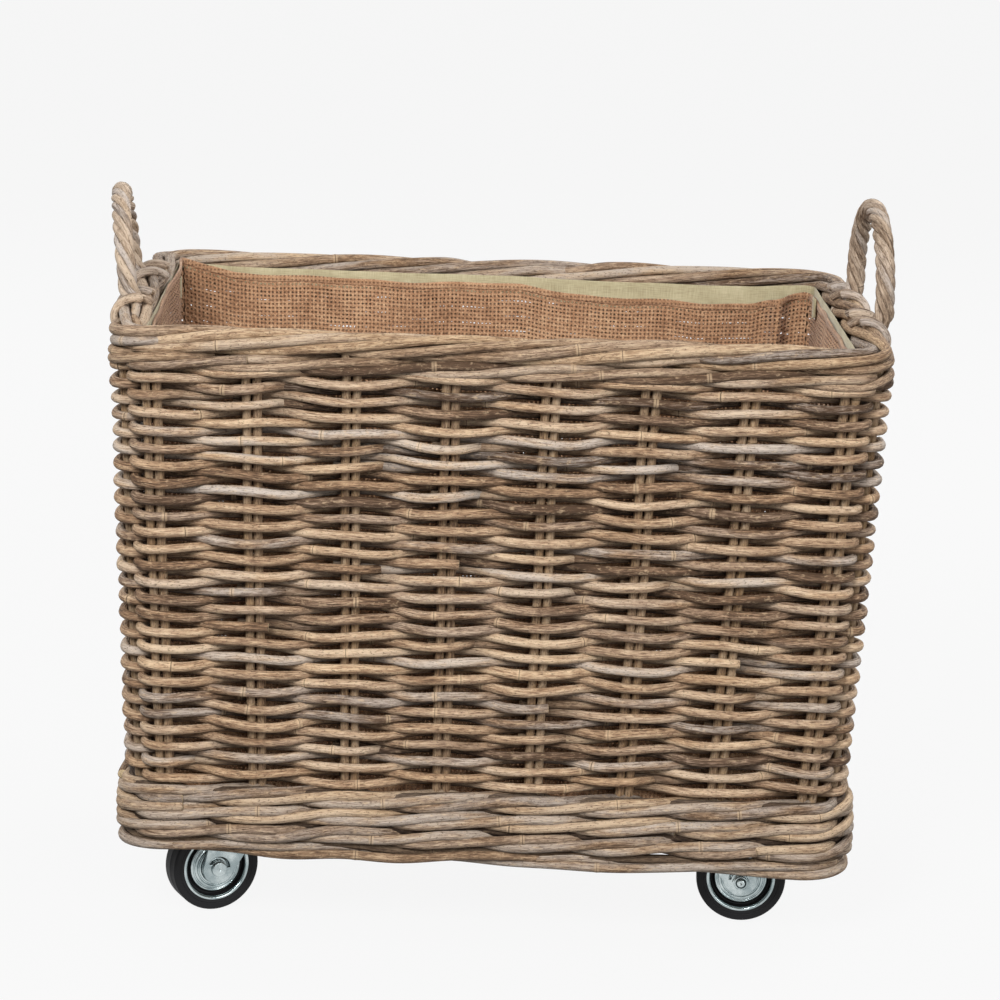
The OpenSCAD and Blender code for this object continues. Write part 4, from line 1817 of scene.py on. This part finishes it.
    def make_bolt(self, material: bpy.types.Material) -> None:
        """Turn the axle bolt, with a flat round head and a threaded end.

        Args:
            material: Its finish.
        """
        side = self.fork_gap + self.sheet
        head = [(0.0003, side + 0.0027, 0.0), (0.0030, side + 0.0028, 0.0), (0.0058, side + 0.0026, 0.0012),
                (0.0065, side + 0.0018, 0.0005), (0.0065, side + 0.0002, 0.0003), (self.bolt, side, 0.0)]
        thread = []
        for k in range(9):
            place = -side - self.thread_pitch * k
            thread += [(self.bolt, place, 0.0), (0.0035, place - 0.5 * self.thread_pitch, 0.0)]
        end = -side - 0.0088
        tip = [(0.0036, end + 0.0009, 0.0), (0.0028, end, 0.0), (0.0003, end + 0.0002, 0.0)]
        mesh = self.lathe(f"axle_{self.corner}", self.rounded(head + thread + tip), 48, closed=False)
        put(mesh, f"swivel_{self.corner}", Slot.ZINC, material, f"axle_bolt_{self.corner}")

    def plate_shape(self, name: str, outlines: list[list[tuple[float, float]]],
                    thick: float) -> bpy.types.Mesh:
        """Cut a flat shape with rounded edges.

        Args:
            name: The mesh's name.
            outlines: The outer outline, then any holes, in the shape's own plane.
            thick: Its thickness, centred on that plane.

        Returns:
            The mesh.
        """
        edge = 0.2 * thick
        curve = bpy.data.curves.new(name, "CURVE")
        curve.dimensions = "2D"
        curve.fill_mode = "BOTH"
        curve.extrude = 0.5 * thick - edge
        curve.bevel_depth = edge
        curve.bevel_resolution = 2
        curve.offset = -edge
        for outline in outlines:
            spline = curve.splines.new("POLY")
            spline.points.add(len(outline) - 1)
            spline.use_cyclic_u = True
            for point, (x, y) in zip(spline.points, outline):
                point.co = (x, y, 0.0, 1.0)
        shape = bpy.data.objects.new(name, curve)
        bpy.context.scene.collection.objects.link(shape)
        ready = shape.evaluated_get(bpy.context.evaluated_depsgraph_get())
        mesh = bpy.data.meshes.new_from_object(ready)
        bpy.data.objects.remove(shape)
        bpy.data.curves.remove(curve)
        mesh.name = name
        return mesh

    def arc(self, middle: tuple[float, float], radius: float, start: float, stop: float,
            steps: int = 14) -> list[tuple[float, float]]:
        """Lay out an arc.

        Args:
            middle: Its centre.
            radius: Its radius.
            start: The angle where it starts, in degrees.
            stop: The angle where it stops, in degrees.
            steps: How many points it has.

        Returns:
            The points along it.
        """
        angles = [math.radians(angle) for angle in np.linspace(start, stop, steps)]
        return [(middle[0] + radius * math.cos(angle), middle[1] + radius * math.sin(angle))
                for angle in angles]

    def make_fork(self, material: bpy.types.Material) -> None:
        """Press the fork: two legs with an arched slot over the axle, bent down from a round crown.

        Args:
            material: Its finish.
        """
        axle = (self.trail, self.wheel)
        shoulder = self.crown + 0.0028
        leg = self.arc(axle, self.leg_end, -160.0, 20.0, 30)
        leg += [(self.trail + 0.0035, shoulder - 0.006), (self.trail + 0.0005, shoulder)]
        leg += [(-0.0150, shoulder), (-0.0158, shoulder - 0.005)]
        slot = self.arc(axle, 0.0102, 30.0, 178.0, 16) + self.arc(axle, 0.0074, 178.0, 30.0, 16)
        legs = []
        for hand in (-1.0, 1.0):
            mesh = self.plate_shape("leg", [leg, slot], self.sheet)
            place = Matrix.Translation((0.0, hand * (self.fork_gap + 0.5 * self.sheet), 0.0))
            mesh.transform(place @ Matrix.Rotation(math.radians(90.0), 4, "X"))
            legs.append(mesh)
        crown = self.arc((0.0, 0.0), 0.0228, 45.0, 315.0, 40)
        crown += [(self.trail - 0.004, -self.fork_gap - 0.001), (self.trail - 0.004, self.fork_gap + 0.001)]
        hole = self.arc((0.0, 0.0), 0.00515, 0.0, 345.0, 24)
        thick = 0.003
        top = self.plate_shape("crown", [crown, hole], thick)
        top.transform(Matrix.Translation((0.0, 0.0, self.crown + 0.5 * thick)))
        joined = join_meshes(f"fork_pressing_{self.corner}", [*legs, top])
        joined.transform(self.at_swivel)
        put(joined, f"swivel_{self.corner}", Slot.ZINC, material, f"fork_{self.corner}")

    def make_nut(self, material: bpy.types.Material) -> None:
        """Make the lock nut: a hexagon with a round collar and a washer beneath it.

        Args:
            material: Its finish.
        """
        side = -self.fork_gap - self.sheet
        hexagon = self.arc((0.0, 0.0), self.nut, 0.0, 300.0, 6)
        bore = self.arc((0.0, 0.0), self.bore, 0.0, 345.0, 24)
        body = self.plate_shape("hex", [hexagon, bore], 0.0048)
        upright = Matrix.Rotation(math.radians(90.0), 4, "X")
        body.transform(Matrix.Translation((0.0, side - 0.0030, 0.0)) @ upright)
        body.transform(self.at_axle)
        collar = [(self.bore, side - 0.0052, 0.0003), (0.0058, side - 0.0052, 0.0003),
                  (0.0056, side - 0.0076, 0.0012), (0.0046, side - 0.0078, 0.0003),
                  (0.0043, side - 0.0070, 0.0003)]
        washer = [(self.bore, side, 0.0), (0.0079, side - 0.0001, 0.0002), (0.0079, side - 0.0008, 0.0003),
                  (self.bore, side - 0.0008, 0.0)]
        parts = [body]
        for name, outline in (("collar", collar), ("washer", washer)):
            parts.append(self.lathe(name, self.rounded(outline), 48))
        joined = join_meshes(f"lock_nut_{self.corner}", parts)
        put(joined, f"swivel_{self.corner}", Slot.ZINC, material, f"axle_nut_{self.corner}")

    def build(self, zinc: bpy.types.Material, steel: bpy.types.Material,
              rubber: bpy.types.Material) -> None:
        """Make all the pieces that show.

        Args:
            zinc: The finish of the fork, bolt and nut.
            steel: The finish of the wheel.
            rubber: The finish of the tyre.
        """
        self.make_tyre(rubber)
        self.make_disc(steel, rubber)
        self.make_fork(zinc)
        self.make_bolt(zinc)
        self.make_nut(zinc)


def join_meshes(name: str, parts: list[bpy.types.Mesh]) -> bpy.types.Mesh:
    """Put several meshes into one and shade it smooth except at its sharp edges.

    Args:
        name: The new mesh's name.
        parts: The meshes, which are used up.

    Returns:
        The mesh.
    """
    verts, corners, sizes, used = [], [], [], 0
    for part in parts:
        points = np.empty(3 * len(part.vertices), np.float32)
        part.vertices.foreach_get("co", points)
        index = np.empty(len(part.loops), np.int32)
        part.loops.foreach_get("vertex_index", index)
        total = np.empty(len(part.polygons), np.int32)
        part.polygons.foreach_get("loop_total", total)
        verts.append(points.reshape(-1, 3))
        corners.append(index + used)
        sizes.append(total)
        used += len(part.vertices)
        bpy.data.meshes.remove(part)
    mesh = faces_to_mesh(name, np.concatenate(verts), np.concatenate(corners), np.concatenate(sizes))
    mesh.set_sharp_from_angle(angle=math.radians(35.0))
    return mesh


# ---------------------------------------------------------------- the studio


@dataclass(frozen=True)
class SoftBox:
    """A square studio light that points at the basket."""

    name: str
    place: tuple[float, float, float]
    size: float
    power: float

    def build(self, target: Vector) -> None:
        """Hang the light.

        Args:
            target: The point that it faces.
        """
        lamp = bpy.data.lights.new(self.name, "AREA")
        lamp.size = self.size
        lamp.energy = self.power
        light = bpy.data.objects.new(self.name, lamp)
        light.location = self.place
        light.rotation_euler = (target - light.location).to_track_quat("-Z", "Y").to_euler()
        bpy.context.scene.collection.objects.link(light)


@dataclass(frozen=True)
class Studio:
    """A pale floor, soft light all round, and a long-lens camera a little above the rim."""

    target: Vector = Vector((0.0058, 0.0, 0.3298))
    distance: float = 2.869
    pitch: float = math.radians(12.70)
    yaw: float = math.radians(-1.08)
    roll: float = math.radians(2.03)
    lens: float = 120.74
    sky: float = 0.46
    ground: float = 0.12
    sky_fade: tuple[float, float] = (-0.6, 0.5)
    floor_reach: float = 30.0
    floor_glow: float = 0.905
    floor_tone: float = 0.03
    boxes: tuple[SoftBox, ...] = (
        SoftBox("key", (-0.9, -2.6, 2.0), 1.0, 98.0), SoftBox("fill", (1.6, -2.7, 1.2), 1.6, 38.0),
        SoftBox("top", (1.4, 0.1, 2.7), 1.4, 14.0), SoftBox("back_left", (-2.0, 2.5, 1.9), 1.6, 42.0),
        SoftBox("back_right", (2.0, 2.3, 2.0), 1.6, 48.0))

    def camera(self) -> None:
        """Set up the camera."""
        back = Vector((math.sin(self.yaw) * math.cos(self.pitch), -math.cos(self.yaw) * math.cos(self.pitch),
                       math.sin(self.pitch)))
        right = (-back).cross(Vector(UP)).normalized()
        top = right.cross(-back)
        across = right * math.cos(self.roll) + top * math.sin(self.roll)
        above = top * math.cos(self.roll) - right * math.sin(self.roll)
        shot = bpy.data.cameras.new("camera")
        shot.lens = self.lens
        shot.sensor_width = 36.0
        holder = bpy.data.objects.new("camera", shot)
        spin = Matrix((across, above, back)).transposed().to_4x4()
        holder.matrix_world = Matrix.Translation(self.target + back * self.distance) @ spin
        bpy.context.scene.collection.objects.link(holder)
        bpy.context.scene.camera = holder

    def floor(self) -> None:
        """Lay the floor, which glows a little so that it stays pale and its shadows soft."""
        mesh = bpy.data.meshes.new("studio_floor")
        reach = self.floor_reach
        mesh.from_pydata([(-reach, -reach, 0.0), (reach, -reach, 0.0), (reach, reach, 0.0),
                          (-reach, reach, 0.0)], [], [(0, 1, 2, 3)])
        floor = bpy.data.objects.new("studio_floor", mesh)
        bpy.context.scene.collection.objects.link(floor)
        sketch = NodeSketch("studio_floor")
        tone = (self.floor_tone, self.floor_tone, self.floor_tone, 1.0)
        sketch.surface(Base_Color=tone, Roughness=1.0, Specular_IOR_Level=0.0,
                       Emission_Color=(1.0, 1.0, 1.0, 1.0), Emission_Strength=self.floor_glow)
        mesh.materials.append(sketch.material)
        floor.visible_diffuse = False

    def build(self) -> None:
        """Set up the light, the floor and the camera."""
        scene = bpy.context.scene
        world = bpy.data.worlds.new("studio")
        world.use_nodes = True
        tree = world.node_tree
        split = tree.nodes.new("ShaderNodeSeparateXYZ")
        fade = tree.nodes.new("ShaderNodeMapRange")
        tree.links.new(tree.nodes.new("ShaderNodeTexCoord").outputs["Generated"], split.inputs[0])
        tree.links.new(split.outputs[2], fade.inputs["Value"])
        for socket, value in (("From Min", self.sky_fade[0]), ("From Max", self.sky_fade[1]),
                              ("To Min", self.ground), ("To Max", self.sky)):
            fade.inputs[socket].default_value = value
        tree.nodes["Background"].inputs[0].default_value = (1.0, 1.0, 1.0, 1.0)
        tree.links.new(fade.outputs[0], tree.nodes["Background"].inputs[1])
        scene.world = world
        scene.view_settings.view_transform = "Standard"
        scene.view_settings.look = "None"
        self.floor()
        for box in self.boxes:
            box.build(self.target)
        self.camera()


# ---------------------------------------------------------------- putting it together


def dress_hardware(zinc: bpy.types.Material, plywood: bpy.types.Material) -> None:
    """Give the CAD pieces that stay their finishes.

    Args:
        zinc: The finish of the castors' plates, races, kingpins and screws.
        plywood: The finish of the base board.
    """
    plates = [f"{part}_{corner}" for part in ("plate", "race") for corner in CORNERS]
    for name in ("plate_screws", "kingpins", *plates):
        dress(frame["nodes"][name], zinc)
        LOG.info("%s: dressed in zinc", name)
    dress(frame["nodes"]["base_board"], plywood)
    LOG.info("base_board: dressed in plywood")


def main() -> None:
    """Build every part of the basket in order."""
    logging.basicConfig(level=logging.INFO, format="%(message)s")
    siding_low, siding_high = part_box("siding_front")
    end_low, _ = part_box("siding_left")
    line = StakeLine(-end_low.x - WEAVE_HALF, -siding_low.y - WEAVE_HALF, siding_low.z, siding_high.z)
    rim_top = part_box("rim_front")[1].z
    foot_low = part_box("foot_front")[0].z
    board_low, board_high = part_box("base_board")
    handle_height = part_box("handle_left")[1].z - rim_top

    siding = RattanFinish("siding_cane").make()
    stake = RattanFinish("stake_cane", dark="7E6248", middle="957854", light="AB9070").make()
    border = RattanFinish("border_cane", dark="765C45", middle="A08365", light="C6AB8A",
                          grey="B0A499").make()
    rope = RattanFinish("handle_cane", dark="75614F", middle="A08A74", light="C2AD96",
                        grey="B9ADA3").make()
    zinc = ZincFinish("zinc_plate").make()
    steel = ZincFinish("wheel_plate", roughness=0.2).make()

    Weave(line).build(siding)
    Stakes(line).build(stake)
    Rim(line, rim_top).build(border)
    Foot(line, foot_low, board_low.z).build(border)
    Handle("left", line, rim_top, lean=math.radians(7.0), swivel=math.radians(3.8), offset=0.0105,
           height=handle_height - 0.0035).build(rope)
    Handle("right", line, rim_top, lean=math.radians(-0.5), swivel=math.radians(3.3), offset=0.012,
           height=handle_height + 0.0025, seed=207).build(rope)
    Liner(line, board_high.z, HEM_HEIGHT).build(HessianFinish().make(), CottonFinish().make())
    rubber = RubberFinish().make()
    for corner in CORNERS:
        Castor(corner).build(zinc, steel, rubber)
    dress_hardware(zinc, PlywoodFinish().make())
    Studio().build()


if __name__ == "__main__":
    main()
